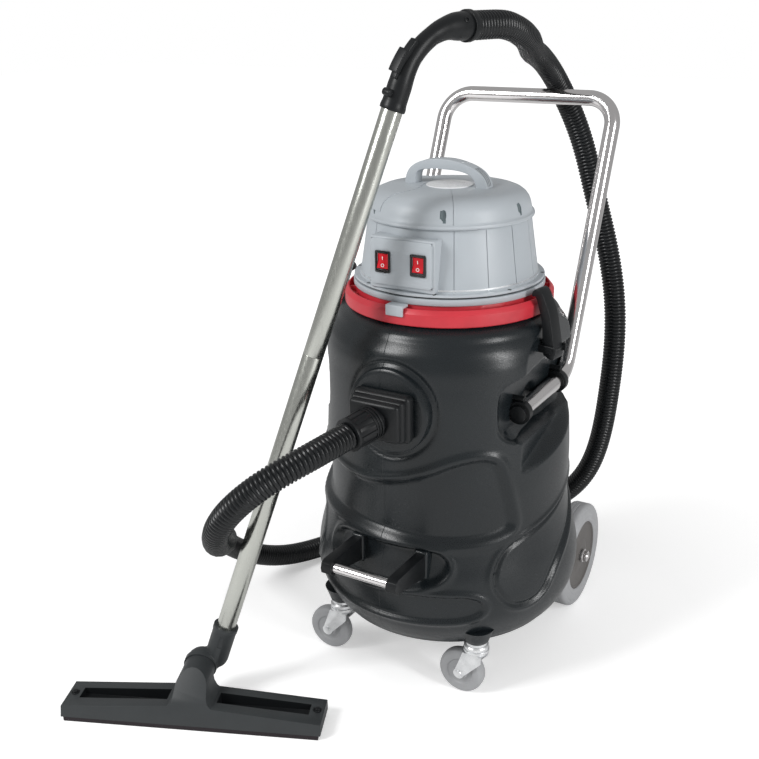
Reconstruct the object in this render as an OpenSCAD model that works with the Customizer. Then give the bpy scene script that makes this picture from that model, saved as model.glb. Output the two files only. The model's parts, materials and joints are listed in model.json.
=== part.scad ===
// Wheeled wet and dry vacuum cleaner: one moulded tank on two rear wheels and two casters,
// twin-motor head, tubular push handle, ribbed suction hose, steel wand and wide floor tool.
// Millimetres, +Z up. The origin is on the floor, under the middle of the tank. The switches and
// the hose inlet face -Y, and the push handle and the big wheels are at +Y.

/* [Tank] */
// Greatest radius of the tank, at its belly
belly_r = 232; // [226:1:238]
// Radius of the tank's waist
waist_r = 210; // [206:1:214]
// Outside radius of the neck at the rim
neck_r = 162; // [158:0.5:164]
// Thickness of the tank's wall
tank_wall = 5; // [4:0.5:6]
// Height of the tank's underside above the floor
tank_z = 90; // [88:1:94]
// Height of the tank's rim
rim_z = 652; // [646:1:660]
// Distance of the flat side pockets from the middle plane
pocket_x = 149; // [146:0.5:152]
// Lower edge of the side pockets
pocket_z = 458; // [450:1:464]
// Height of the side pockets
pocket_h = 114; // [108:1:118]

/* [Hose inlet] */
// Height of the inlet's middle
inlet_z = 515; // [500:1:520]
// Radius of the round boss behind the inlet block
boss_r = 70; // [66:1:74]
// Width of the inlet block
block_w = 86; // [80:1:92]
// Height of the inlet block
block_h = 62; // [58:1:68]
// Distance of the block's face from the tank's axis
block_y = 256; // [250:1:262]
// How far the inlet's bore is turned towards -X
inlet_yaw = 16; // [10:1:18]
// How far the inlet's bore points down
inlet_dip = 8; // [4:1:10]
// Length of the fluted cuff in front of the block
cuff_len = 50; // [44:1:56]

/* [Head] */
// Radius of the red bumper ring
ring_r = 172.5; // [170:0.5:175]
// Height of the bumper ring
ring_h = 26; // [24:1:30]
// Radius of the grey base flange
flange_r = 157; // [155:0.5:160]
// Thickness of the base flange
flange_t = 10; // [8:0.5:12]
// Radius of the motor housing at its foot
housing_r = 150; // [148:0.5:152]
// Radius of the motor housing at its top
housing_top_r = 132; // [130:0.5:136]
// Height of the motor housing
housing_h = 96; // [92:1:100]
// Height of the dome above the housing
dome_h = 44; // [40:1:48]
// Wall of the housing and the dome
shell_wall = 3.5; // [3:0.5:4]
// Half the distance between the feet of the carry handle
carry_half = 60; // [56:1:64]
// Height of the carry handle above the dome
carry_h = 41; // [38:1:46]
// Width of the carry handle
carry_w = 24; // [20:1:28]

/* [Switches] */
// Width of the raised switch panel
panel_w = 106; // [100:1:112]
// Height of the raised switch panel
panel_h = 71; // [68:1:74]
// Distance between the two switches
switch_pitch = 61; // [56:1:64]
// Width of a switch frame
frame_w = 26; // [24:1:28]
// Height of a switch frame
frame_h = 34; // [32:1:36]
// Travel of a rocker between off and on, in degrees
rocker_travel = 14; // [10:1:16]

/* [Inside the head] */
// Radius of a motor's casing
motor_r = 50; // [46:1:52]
// Height of a motor's casing
motor_h = 92; // [84:1:96]
// Radius of the float cage
cage_r = 44; // [40:1:48]
// Length of the float cage
cage_h = 110; // [100:1:116]
// Radius of the cartridge filter
filter_r = 96; // [90:1:100]
// Length of the cartridge filter
filter_h = 124; // [120:1:130]

/* [Latches] */
// How far the latches sit forward of the side, in degrees
latch_turn = 10; // [8:1:12]
// Width of a latch
latch_w = 26; // [22:1:28]
// Distance of the latch pivot from the tank's axis
latch_pivot_r = 210; // [209.5:0.1:211]
// Depth of the latch pivot below the ring's top edge
latch_drop = 82; // [80:0.5:84]

/* [Push handle] */
// Outside radius of the push handle's tube
push_r = 13.5; // [12.5:0.5:14]
// Wall of the push handle's tube
push_wall = 2; // [1.5:0.5:3]
// Distance of the side tubes from the middle plane
push_x = 163; // [163:0.5:166]
// Height of the side tubes' lower run
push_foot_z = 495; // [493:1:500]
// Height of the top bar
push_top_z = 941; // [920:1:960]
// How far the side tubes lean back, in degrees
push_lean = 23.7; // [22:0.1:26]
// Front end of the lower run
push_front_y = -78; // [-84:1:-72]
// Where the lower run turns up
push_foot_y = 126; // [124:1:134]

/* [Front grip] */
// Radius of the front grip's bar
grip_r = 8; // [7:0.5:9]
// Height of the front grip's bar
grip_z = 270; // [264:1:276]
// Distance of the bar from the tank's axis
grip_y = 298; // [292:1:304]
// Free length of the bar between its arms
grip_len = 100; // [90:1:110]

/* [Rear wheels] */
// Radius of a rear wheel
wheel_r = 100; // [98:0.5:100]
// Width of a rear wheel
wheel_w = 40; // [36:1:42]
// Distance of the outer wheel face from the middle plane
wheel_x = 190; // [188:1:194]
// Distance of the rear axle behind the tank's axis
axle_y = 206; // [204:1:210]
// Radius of the rear axle
axle_r = 10; // [8:0.5:10]
// Radius of the hub disc
hub_r = 66; // [62:1:68]

/* [Casters] */
// Radius of a caster wheel
caster_r = 40; // [38:0.5:40]
// Width of a caster wheel
caster_w = 24; // [20:1:26]
// Distance of a caster's swivel from the middle plane
caster_x = 132; // [128:1:136]
// Distance of a caster's swivel in front of the tank's axis
caster_y = 151; // [148:1:154]
// How far a caster wheel trails behind its swivel
caster_trail = 25; // [22:1:28]

/* [Wand] */
// Outside radius of the wand tubes
wand_r = 16; // [15:0.5:16.5]
// Wall of the wand tubes
wand_wall = 1.5; // [1:0.25:2]
// Lean of the wand from the vertical, in degrees
wand_lean = 19.1; // [19:0.1:19.2]
// Direction in which the wand leans, in degrees from +X
wand_heading = 35.5; // [35.3:0.1:35.7]
// Length of the wand between the tool's cuff and the grip
wand_len = 882; // [880:1:884]
// Length of the lower tube that shows
wand_low_len = 500; // [470:5:520]
// Bend radius of the curved grip
grip_bend = 100; // [98:1:102]
// Direction of the grip's hose end, in degrees from +X
grip_heading = 74; // [73:1:75]

/* [Hose] */
// Outside radius of the hose over its ribs
hose_r = 21; // [20:0.5:21]
// Depth of the grooves between the ribs
rib_depth = 2.4; // [2:0.2:2.6]
// Wall left under the grooves
hose_wall = 2; // [2:0.5:2.5]
// Number of ribs along the hose
rib_count = 198; // [120:2:200]

/* [Floor tool] */
// Width of the floor tool
tool_w = 437; // [420:1:450]
// Depth of the floor tool
tool_d = 70; // [66:1:76]
// Height of the body's ends above the brush strips
tool_end_h = 18; // [16:1:20]
// Height of the body's middle above the brush strips
tool_mid_h = 30; // [28:1:32]
// Height of the brush strips
strip_h = 8; // [6:1:10]
// Turn of the floor tool about the vertical, in degrees
tool_turn = 22.6; // [21:0.2:24]
// Outside radius of the tool's neck
neck_tube_r = 26; // [25:0.5:27]
// Rise of the neck towards the back, in degrees
neck_rise = 10; // [6:1:14]

/* [Hidden] */
$fn = 96;
eps = 1; // how far a cutter passes the surface that it opens
gap = 0.3; // clearance between pieces that move past each other
run = 0.05; // radial clearance of a running fit

// ---- directions ----
function unit(v) = v / norm(v);
function heading(turn, rise = 0) = [cos(turn) * cos(rise), sin(turn) * cos(rise), sin(rise)];
// Children's +Z is laid along direction d, and their +X as near to direction s as it goes
module aimed(at, d, s) {
    z = unit(d);
    x = unit(s - (s * z) * z);
    y = cross(z, x);
    multmatrix([[x.x, y.x, z.x, at.x], [x.y, y.y, z.y, at.y], [x.z, y.z, z.z, at.z], [0, 0, 0, 1]])
        children();
}
module both_sides() {
    children();
    mirror([1, 0, 0]) children();
}
// Rounded rectangle as squares and circles, so that its edges stay true
module rounded(w, h, r) {
    square([w - 2 * r, h], center = true);
    square([w, h - 2 * r], center = true);
    for (x = [-1, 1], y = [-1, 1])
        translate([x * (w / 2 - r), y * (h / 2 - r)]) circle(r, $fn = 32);
}
// A rounded block between y = from and y = to, about the XZ axis
module front_block(w, h, from, to, r) {
    translate([0, to, 0]) rotate([90, 0, 0]) linear_extrude(to - from) rounded(w, h, r);
}
module ring(r_out, r_in, h) {
    difference() {
        cylinder(r = r_out, h = h);
        translate([0, 0, -eps]) cylinder(r = r_in, h = h + 2 * eps);
    }
}
module ring_profile(r, wall) {
    difference() {
        circle(r);
        circle(r - wall);
    }
}
// Arc points for profiles
function arc(cx, cy, r, a0, a1, n) =
    [for (i = [0 : n]) [cx + r * cos(a0 + (a1 - a0) * i / n), cy + r * sin(a0 + (a1 - a0) * i / n)]];

// ---- tank ----
// Radius and height pairs of the tank's outline; shift moves the outline inwards for the cavity
function tank_outline(shift) = [
    [belly_r - 72 - shift, tank_z + shift], [belly_r - 48 - shift, tank_z + 6 + shift],
    [belly_r - 30 - shift, tank_z + 20 + shift / 2], [belly_r - 14 - shift, tank_z + 42 + shift / 4],
    [belly_r - 4 - shift, tank_z + 66], [belly_r - shift, tank_z + 92],
    [belly_r - shift, tank_z + 112], [belly_r - 5 - shift, tank_z + 142],
    [waist_r + 9 - shift, tank_z + 172], [waist_r + 3 - shift, tank_z + 198],
    [waist_r + 1 - shift, tank_z + 230], [waist_r - shift, tank_z + 300],
    [waist_r - 4 - shift, rim_z - 190], [waist_r - 5 - shift, rim_z - 100],
    [waist_r - 8 - shift, rim_z - 58], [waist_r - 15 - shift, rim_z - 38],
    [waist_r - 28 - shift, rim_z - 21], [neck_r + 6 - shift, rim_z - 11],
    [neck_r - shift, rim_z - 7]];
wheel_well_r = wheel_r + 12;
wheel_well_x = wheel_x - wheel_w - 8;
module tank_round(shift, top) {
    outline = tank_outline(shift);
    rotate_extrude() polygon(concat(
        [[0, tank_z + shift]], outline, [[neck_r - shift, top], [0, top]]));
}
// A closed outline, anticlockwise, pushed outwards by grow
function grown(p, grow) = [for (i = [0 : len(p) - 1])
    let(n = len(p), a = unit(p[i] - p[(i + n - 1) % n]), b = unit(p[(i + 1) % n] - p[i]),
        across = [a.y + b.y, -a.x - b.x])
    p[i] + grow * across / (1 + a * b)];
// Reliefs in the tank's front: a depth and an outline seen from the front
panel_depth = 7;
panel_outline = [
    [-196, 300], [-98, 302], [-7, 301], [78, 295], [134, 296], [164, 303], [176, 322], [174, 350],
    [167, 395], [159, 430], [141, 442], [104, 436], [64, 416], [14, 398], [-50, 388], [-98, 390],
    [-196, 402]];
recess_depth = 9; // round the front grip
recess_outline = [
    [-81, grip_z - 55], [-8, grip_z - 54], [74, grip_z - 44], [97, grip_z - 26], [102, grip_z - 2],
    [92, grip_z + 13], [74, grip_z + 18], [-19, grip_z + 15], [-96, grip_z + 12],
    [-113, grip_z - 8], [-112, grip_z - 36], [-100, grip_z - 50]];
slot_depth = 4.5; // near the floor
slot_outline = [
    [-122, 165], [-87, 161], [0, 160], [79, 161], [138, 166], [153, 175], [158, 188], [154, 201],
    [140, 209], [79, 210], [0, 208], [-71, 205], [-122, 197], [-134, 189], [-137, 178]];
module front_relief(outline, depth, grow) {
    difference() {
        rotate([90, 0, 0]) linear_extrude(belly_r + 1) polygon(grown(outline, grow));
        tank_round(depth + grow, rim_z);
    }
}
// The barrel with its reliefs, moved inwards by grow for the cavity
module tank_barrel(grow, top) {
    difference() {
        tank_round(grow, top);
        front_relief(panel_outline, panel_depth, grow);
        front_relief(recess_outline, recess_depth, grow);
        front_relief(slot_outline, slot_depth, grow);
    }
}
// Side flats, pockets for the side tubes and wells for the rear wheels, grown for the cavity
flat_x = pocket_x + 31.5;
flat_outline = [
    [-108, pocket_z - 52], [131, pocket_z + 4], [131, rim_z - 12], [-108, rim_z - 12]];
module tank_hollows(grow) {
    both_sides() {
        translate([flat_x - grow, 0, 0]) rotate([90, 0, 90]) linear_extrude(belly_r)
            polygon(grown(flat_outline, grow));
        translate([pocket_x - grow, -belly_r, pocket_z - grow])
            cube([belly_r, 2 * belly_r, pocket_h + 2 * grow]);
        translate([wheel_well_x - grow, axle_y, wheel_r])
            rotate([0, 90, 0]) cylinder(r = wheel_well_r + grow, h = belly_r);
    }
}
// Solid round boss, grip pads, caster feet and axle lugs
lug_x = 112; // inner side of an axle lug
lug_w = 24;
pad_y = 214; // face of the pads that the grip arms stand on
arm_w = 18;
arm_x = grip_len / 2 + arm_w / 2;
foot_r = 24;
boss_y = waist_r + 3; // distance of the boss's face from the tank's axis
module tank_bosses() {
    translate([0, -boss_y, inlet_z]) rotate([-90, 0, 0]) cylinder(r = boss_r, h = 50);
    both_sides() {
        translate([arm_x, 0, grip_z - 9]) front_block(arm_w + 6, 50, -pad_y, -pad_y + 34, 5);
        translate([caster_x, -caster_y, tank_z + 3]) cylinder(r = foot_r, h = 40);
        translate([lug_x, axle_y - 66, wheel_r - 17]) cube([lug_w, 82, 36]);
    }
}
module tank() {
    color("#23272a") difference() {
        union() {
            difference() {
                union() {
                    tank_barrel(0, rim_z);
                    tank_bosses();
                }
                tank_hollows(0);
            }
        }
        // the cavity keeps a full wall behind pockets and wells
        difference() {
            tank_barrel(tank_wall, rim_z + eps);
            tank_hollows(tank_wall);
            both_sides() translate([caster_x, -caster_y, tank_z + 3])
                cylinder(r = foot_r, h = 40);
        }
        inlet_axis(-60) cylinder(r = inlet_bore_r, h = 120);
        both_sides() {
            translate([0, axle_y, wheel_r]) rotate([0, 90, 0]) cylinder(r = axle_r + run, h = wheel_x);
            translate([caster_x, -caster_y, 0]) cylinder(r = stem_r + gap, h = tank_z + 38);
            translate([caster_x, -caster_y, 0]) cylinder(r = foot_r, h = tank_z + 3);
        }
    }
}
module tank_gasket() {
    color("#1b1b1b") translate([0, 0, rim_z]) ring(neck_r + 1, neck_r - tank_wall, web_z - rim_z);
}

// ---- hose inlet ----
inlet_bore_r = 22;
cuff_r = 26;
cuff_bore_r = hose_r - rib_depth - hose_wall;
inlet_dir = heading(-90 - inlet_yaw, -inlet_dip);
inlet_at = [0, -block_y, inlet_z];
hose_start = inlet_at + cuff_len * inlet_dir;
// Children's +Z runs out of the inlet, from s millimetres in front of the block's face
module inlet_axis(s) {
    aimed(inlet_at + s * inlet_dir, inlet_dir, [1, 0, 0]) children();
}
module inlet_block() {
    color("#1f2224") difference() {
        union() {
            translate([0, 0, inlet_z]) {
                front_block(block_w + 14, block_h + 14, -block_y + 22, -boss_y, 9);
                front_block(block_w + 6, block_h + 6, -block_y + 10, -boss_y, 8);
                front_block(block_w, block_h, -block_y, -boss_y, 7);
            }
        }
        inlet_axis(-70) cylinder(r = inlet_bore_r, h = 90);
        inlet_axis(0.2) cylinder(r = cuff_r + 1 + gap, h = 30);
    }
}
// Curved pipe stub inside the tank that turns the incoming air down
module inlet_deflector() {
    mouth = inlet_at - (block_y - waist_r + tank_wall) * inlet_dir;
    color("#2b2b2b") difference() {
        intersection() {
            translate([mouth.x, mouth.y, mouth.z - 6]) front_block(72, 74, -20, 30, 10);
            tank_round(tank_wall + gap, rim_z);
        }
        translate([mouth.x, mouth.y, mouth.z - 12]) front_block(64, 74, 9, 26, 8);
        inlet_axis(-80) cylinder(r = 26, h = 60);
    }
}
module tank_cuff() {
    color("#17191a") difference() {
        union() {
            inlet_axis(-36) cylinder(r = inlet_bore_r - run, h = 37);
            inlet_axis(0.5) cylinder(r = cuff_r + 1, h = 3);
            inlet_axis(0.5) cylinder(r = cuff_r - 1, h = cuff_len - 0.5);
            for (s = [6, 11]) inlet_axis(s) cylinder(r = cuff_r + 0.5, h = 2.5);
            for (a = [0 : 30 : 330]) inlet_axis(14) rotate([0, 0, a])
                translate([cuff_r - 2, -2.5, 0]) cube([2.5, 5, cuff_len - 20]);
            inlet_axis(cuff_len - 5) cylinder(r = cuff_r + 0.5, h = 5);
        }
        inlet_axis(-36 - eps) cylinder(r = cuff_bore_r, h = cuff_len + 36 + 2 * eps);
        inlet_axis(16) rotate([0, 0, button_turn]) translate([cuff_r - 6, -5, 0]) cube([20, 10, 12]);
    }
}
// Sprung button that frees the cuff, on its outer side
button_turn = 200;
button_travel = 2;
module release_button() {
    color("#c8283a") inlet_axis(16 + gap) rotate([0, 0, button_turn])
        translate([cuff_r - 6 + button_travel + gap, -5 + gap, 0])
            cube([6.5, 10 - 2 * gap, 12 - 2 * gap]);
}

// ---- bumper ring and flange ----
ring_z = rim_z - 7;
ring_top = ring_z + ring_h;
web_z = rim_z + 3;
web_t = 4;
ring_wall = 4;
ring_inner_r = flange_r - 3;
flange_z = ring_top + 11;
housing_z = flange_z + flange_t;
chamfer_r = 5.5; // how far the ring's top edge is cut back for the latches
chamfer_z = 7;
module bumper_ring() {
    color("#c23242") union() {
        rotate_extrude() polygon([
            [ring_r - ring_wall, ring_z], [ring_r - 1, ring_z], [ring_r, ring_z + 1.5],
            [ring_r, ring_top - chamfer_z], [ring_r - chamfer_r, ring_top],
            [ring_r - chamfer_r - 2, ring_top], [ring_r - chamfer_r - 2, web_z + web_t],
            [ring_inner_r, web_z + web_t], [ring_inner_r, flange_z], [ring_inner_r - 4, flange_z],
            [ring_inner_r - 4, web_z], [ring_r - ring_wall, web_z]]);
        for (a = [0 : 15 : 345]) rotate([0, 0, a])
            translate([ring_inner_r - 1, -1.5, web_z + web_t - 1])
                cube([ring_r - chamfer_r - ring_inner_r, 3, 9]);
    }
}
// Small grey clip over the ring's front edge
module ring_clip() {
    color("#aab2b8") rotate([0, 0, -92]) difference() {
        translate([ring_inner_r + 4, -15, ring_top - 12]) cube([ring_r - ring_inner_r, 30, 17]);
        rotate_extrude() translate([ring_inner_r - 5, 0])
            square([ring_r - ring_inner_r + 5 + gap, ring_top + gap]);
    }
}
module base_flange() {
    color("#9aa3a9") difference() {
        union() {
            translate([0, 0, flange_z]) rotate_extrude() polygon([
                [0, 0], [flange_r - 1.5, 0], [flange_r, 1.5], [flange_r, flange_t - 2],
                [flange_r - 2, flange_t], [0, flange_t]]);
            translate([0, 0, flange_z - 8]) ring(ring_inner_r - 4 - gap, ring_inner_r - 8, 9);
            translate([0, 0, flange_z - 10]) ring(filter_r - 4 - gap, filter_r - 8, 11);
        }
        translate([0, 0, flange_z - 20]) cylinder(r = cage_r - 14, h = 20 + flange_t + eps);
    }
}

// ---- motor housing and dome ----
dome_z = housing_z + housing_h;
dome_top = dome_z + dome_h;
bead_h = 6;
housing_slope = (housing_r - housing_top_r) / (housing_h - bead_h);
function housing_at(z) = housing_r - (z - housing_z) * housing_slope;
module housing_cone(shift, from, to) {
    translate([0, 0, from])
        cylinder(r1 = housing_at(from) - shift, r2 = housing_at(to) - shift, h = to - from);
}
panel_x = -6.5; // middle of the switches, a little to the left
panel_z = housing_z + 44;
panel_face = housing_r + 3; // distance of the panel's face from the tank's axis
plug_margin = 5; // the panel's plug through the housing is smaller by this all round
module housing_window(grow) {
    translate([panel_x, 0, panel_z])
        front_block(panel_w - 2 * plug_margin + 2 * grow, panel_h - 2 * plug_margin + 2 * grow,
                    -panel_face - 20, -housing_top_r + 10, 4);
}
module motor_housing() {
    color("#a4adb3") difference() {
        union() {
            housing_cone(0, housing_z, dome_z - bead_h);
            translate([0, 0, dome_z - bead_h]) cylinder(r = housing_top_r + 3.5, h = bead_h);
        }
        housing_cone(shell_wall, housing_z - eps, dome_z + eps);
        housing_window(gap);
        // cooling slots round the back
        for (a = [40 : 10 : 140]) rotate([0, 0, a])
            translate([housing_top_r - 20, -2, housing_z + 26]) cube([60, 4, 40]);
        translate([-gland_x, gland_y, gland_z]) rotate([-90, 0, 0])
            cylinder(r = gland_r + run, h = 60);
    }
}
dome_round = 32;
module dome_cover() {
    color("#aab3b9") rotate_extrude() polygon(concat(
        [[housing_top_r - shell_wall, dome_z], [housing_top_r, dome_z]],
        arc(housing_top_r - dome_round, dome_top - dome_round - 1, dome_round, 0, 85, 10),
        [[0, dome_top], [0, dome_top - shell_wall]],
        arc(housing_top_r - dome_round, dome_top - dome_round - 1, dome_round - shell_wall, 85, 0, 10)));
}
module dome_disc() {
    color("#e6e8ea") translate([0, 0, dome_top]) cylinder(r1 = 38, r2 = 37, h = 1.5);
}
carry_bar = 15; // thickness of the carry handle's arch
module carry_handle() {
    color("#a9b2b8") difference() {
        translate([0, carry_w / 2, dome_top + carry_h - 46]) rotate([90, 0, 0])
            linear_extrude(carry_w) difference() {
                polygon(concat([[-carry_half - 11, 4], [carry_half + 11, 4]],
                    arc(carry_half - 9, 24, 18, 0, 70, 5), [[0, 46]],
                    arc(-carry_half + 9, 24, 18, 110, 180, 5)));
                polygon(concat([[-carry_half + 9, -10], [carry_half - 9, -10]],
                    arc(carry_half - 19, 22, 8, 0, 70, 4), [[0, 46 - carry_bar]],
                    arc(-carry_half + 19, 22, 8, 110, 180, 4)));
            }
        translate([0, 0, -eps]) rotate_extrude() polygon(concat([[0, 0], [housing_top_r, 0]],
            arc(housing_top_r - dome_round, dome_top - dome_round, dome_round, 0, 85, 10),
            [[0, dome_top + eps]]));
    }
}
// Screws of the base flange, and two that hold the carry handle's feet from above
screw_angles = [20, 64, 108, 152, 196, 240, 288, 334];
module screw_heads() {
    for (a = screw_angles) rotate([0, 0, a])
        translate([housing_at(housing_z) + 3.3, 0, housing_z]) cylinder(r = 3.2, h = 3);
}
module head_screws() {
    color("#53575b") screw_heads();
}

// ---- switches ----
face_y = -panel_face;
frame_t = 2.5;
pocket_w = frame_w - 6;
switch_pocket_h = frame_h - 7;
pivot_y = face_y + 5;
rocker_half = switch_pocket_h / 2 - 1.2;
module switch_pair() {
    for (x = [-1, 1]) translate([panel_x + x * switch_pitch / 2, 0, panel_z]) children();
}
module switch_panel() {
    color("#a2abb1") difference() {
        union() {
            difference() {
                translate([panel_x, 0, panel_z])
                    front_block(panel_w, panel_h, face_y, -housing_top_r + 12, 5);
                housing_cone(0, housing_z - eps, dome_z);
            }
            intersection() {
                housing_window(0);
                translate([-200, face_y, housing_z]) cube([400, panel_face - housing_top_r + 6, 90]);
            }
        }
        switch_pair() front_block(pocket_w, switch_pocket_h, face_y - eps, face_y + 15, 0.5);
    }
}
module switch_frames() {
    color("#1b1c1e") switch_pair() difference() {
        front_block(frame_w, frame_h, face_y - frame_t, face_y, 2);
        front_block(pocket_w, switch_pocket_h, face_y - frame_t - eps, face_y + eps, 0.5);
    }
}
// Rocker with a shallow V front, drawn midway and tipped to its off side
module rocker(side) {
    translate([panel_x + side * switch_pitch / 2, pivot_y, panel_z])
        rotate([-rocker_travel / 2, 0, 0]) rotate([90, 0, 90])
            translate([0, 0, -pocket_w / 2 + 0.6]) linear_extrude(pocket_w - 1.2) polygon([
                [-6.5, -rocker_half + 1], [-4.6, 0], [-6.5, rocker_half - 1],
                [-2, rocker_half - 0.4], [4.5, 5], [4.5, -5], [-2, -rocker_half + 0.4]]);
    // trunnions that it tips on
    translate([panel_x + side * switch_pitch / 2 - pocket_w / 2 + 0.2, pivot_y, panel_z])
        rotate([0, 90, 0]) cylinder(r = 2.2, h = pocket_w - 0.4);
}
module rocker_left() {
    color("#c81f2e") rocker(-1);
}
module rocker_right() {
    color("#c81f2e") rocker(1);
}

// ---- inside the head ----
plate_z = housing_z;
plate_t = 5;
motor_x = motor_r + 8;
motor_z = plate_z + plate_t;
shaft_r = 5;
module motor_plate() {
    color("#8f9498") difference() {
        translate([0, 0, plate_z]) cylinder(r = housing_at(housing_z) - shell_wall - 1, h = plate_t);
        for (x = [-1, 1]) translate([x * motor_x, 0, plate_z - eps])
            cylinder(r = 14, h = plate_t + 2 * eps);
        translate([panel_x, 0, plate_z]) front_block(panel_w, 40, face_y, -housing_top_r + 12, 2);
    }
}
module motor(side) {
    translate([side * motor_x, 0, motor_z]) {
        difference() {
            cylinder(r = motor_r, h = motor_h);
            translate([0, 0, 4]) cylinder(r = motor_r - 4, h = motor_h - 8);
            translate([0, 0, -eps]) cylinder(r = shaft_r + run, h = motor_h + 2 * eps);
            for (a = [0 : 60 : 300]) rotate([0, 0, a]) translate([motor_r - 8, -6, motor_h - 24])
                cube([16, 12, 12]);
        }
    }
}
module motor_left() {
    color("#54585c") motor(-1);
}
module motor_right() {
    color("#54585c") motor(1);
}
module rotor(side) {
    translate([side * motor_x, 0, motor_z]) {
        translate([0, 0, -3]) cylinder(r = shaft_r, h = motor_h + 4);
        translate([0, 0, 8]) cylinder(r = motor_r - 7, h = 3);
        for (a = [0 : 40 : 320]) rotate([0, 0, a]) translate([shaft_r - 1, -1, 11 - 0.5])
            cube([motor_r - 13, 2, 12]);
        translate([0, 0, 34]) cylinder(r = motor_r - 18, h = 40);
    }
}
module rotor_left() {
    color("#9b7a46") rotor(-1);
}
module rotor_right() {
    color("#9b7a46") rotor(1);
}
foam_r = housing_at(housing_z + 76) - shell_wall - 1;
module sound_foam() {
    color("#3d3f42") difference() {
        translate([0, 0, motor_z]) ring(foam_r, 2 * motor_r + 9, 70);
        translate([panel_x, 0, panel_z]) front_block(panel_w, 120, face_y, -housing_top_r + 30, 2);
        translate([-gland_x, gland_y, gland_z]) rotate([-90, 0, 0])
            translate([0, 0, -34]) cylinder(r = gland_r + 6, h = foam_r);
    }
}
// Cord inlet at the back of the housing; its flexible lead is not part of this model
gland_r = 9;
gland_x = 60;
gland_y = 100;
gland_z = housing_z + 18;
module cable_gland() {
    color("#1a1b1c") translate([-gland_x, gland_y, gland_z]) rotate([-90, 0, 0]) difference() {
        union() {
            translate([0, 0, 14]) cylinder(r = gland_r, h = 46);
            translate([0, 0, 44]) cylinder(r = gland_r + 4, h = 6);
            translate([0, 0, 14]) cylinder(r = gland_r + 3, h = 6);
        }
        translate([0, 0, 14 - eps]) cylinder(r = 4.5, h = 48);
    }
}

// ---- float and filter ----
cage_top = flange_z - 0.3;
module float_cage() {
    color("#c9ced1") translate([0, 0, cage_top - cage_h]) difference() {
        cylinder(r = cage_r, h = cage_h);
        translate([0, 0, 3]) cylinder(r = cage_r - 3, h = cage_h);
        for (a = [0 : 60 : 120]) rotate([0, 0, a])
            translate([-cage_r - eps, -9, 14]) cube([2 * cage_r + 2 * eps, 18, cage_h - 34]);
        translate([0, 0, -eps]) cylinder(r = 12, h = 10);
    }
}
float_r = cage_r - 3 - 0.5;
module float_ball() {
    color("#e8e4da") translate([0, 0, cage_top - cage_h + 3 + gap]) difference() {
        cylinder(r = float_r, h = 34);
        translate([0, 0, -eps]) cylinder(r = float_r - 4, h = 31);
    }
}
filter_top = flange_z - 0.3;
module cartridge_filter() {
    color("#d9dadb") translate([0, 0, filter_top - filter_h]) difference() {
        cylinder(r = filter_r, h = filter_h);
        translate([0, 0, 4]) cylinder(r = filter_r - 4, h = filter_h);
    }
}

// ---- latches ----
latch_z = ring_top - latch_drop;
pin_r = 3;
eye_r = 6;
hook_r = ring_r - chamfer_r + 0.6;
module latch_side(side) {
    mirror([side < 0 ? 1 : 0, 0, 0]) rotate([0, 0, -latch_turn]) children();
}
// The latch is one lever: eye on the pin, back along the shoulder, hook on the ring's chamfer
module latch(side) {
    latch_side(side) difference() {
        union() {
            translate([0, latch_w / 2, 0]) rotate([90, 0, 0]) linear_extrude(latch_w) polygon([
                [hook_r, ring_top + 0.6], [hook_r, ring_top + 8], [hook_r + 5, ring_top + 15],
                [hook_r + 15, ring_top + 13], [hook_r + 21, ring_top + 2],
                [latch_pivot_r - 8, ring_top - 34], [latch_pivot_r + 4, latch_z + 22],
                [latch_pivot_r + eye_r, latch_z], [latch_pivot_r, latch_z - eye_r + 1],
                [latch_pivot_r - eye_r, latch_z + 1], [latch_pivot_r - 9, latch_z + 18],
                [ring_r + 10, ring_top - 38], [ring_r + 3, ring_top - 24],
                [ring_r + 2.5, ring_top - chamfer_z - 1.5]]);
            translate([latch_pivot_r, latch_w / 2, latch_z]) rotate([90, 0, 0])
                cylinder(r = eye_r, h = latch_w);
        }
        translate([latch_pivot_r, latch_w, latch_z]) rotate([90, 0, 0])
            cylinder(r = pin_r + run, h = 2 * latch_w);
    }
}
module latch_left() {
    color("#202224") latch(-1);
}
module latch_right() {
    color("#202224") latch(1);
}
// Two ears and a pin on each side; the ears stand on the tank's shoulder
module latch_brackets() {
    color("#26292b") for (side = [-1, 1]) latch_side(side) {
        difference() {
            for (y = [-1, 1])
                translate([flat_x - 12, y * (latch_w / 2 + gap + 3) - 3, latch_z - 8])
                    cube([latch_pivot_r + 20 - flat_x, 6, 16]);
            rotate([0, 0, latch_turn]) difference() {
                tank_round(-0.02, rim_z);
                tank_hollows(-0.02);
            }
        }
        translate([latch_pivot_r, latch_w / 2 + 6.3, latch_z]) rotate([90, 0, 0])
            cylinder(r = pin_r, h = latch_w + 12.6);
    }
}

// ---- push handle ----
foot_bend_r = 45;
top_bend_r = 50;
foot_turn = 90 - push_lean;
foot_tangent = foot_bend_r * tan(foot_turn / 2);
push_leg = (push_top_z - push_foot_z) / cos(push_lean);
push_foot_len = push_foot_y - foot_tangent - push_front_y;
leg_len = push_leg - foot_tangent - top_bend_r;
// Children are placed about the centre of the lower bend, +X down and +Y to the back
module at_foot_bend() {
    translate([push_x, push_foot_y - foot_tangent, push_foot_z + foot_bend_r])
        rotate([0, 90, 0]) children();
}
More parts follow.
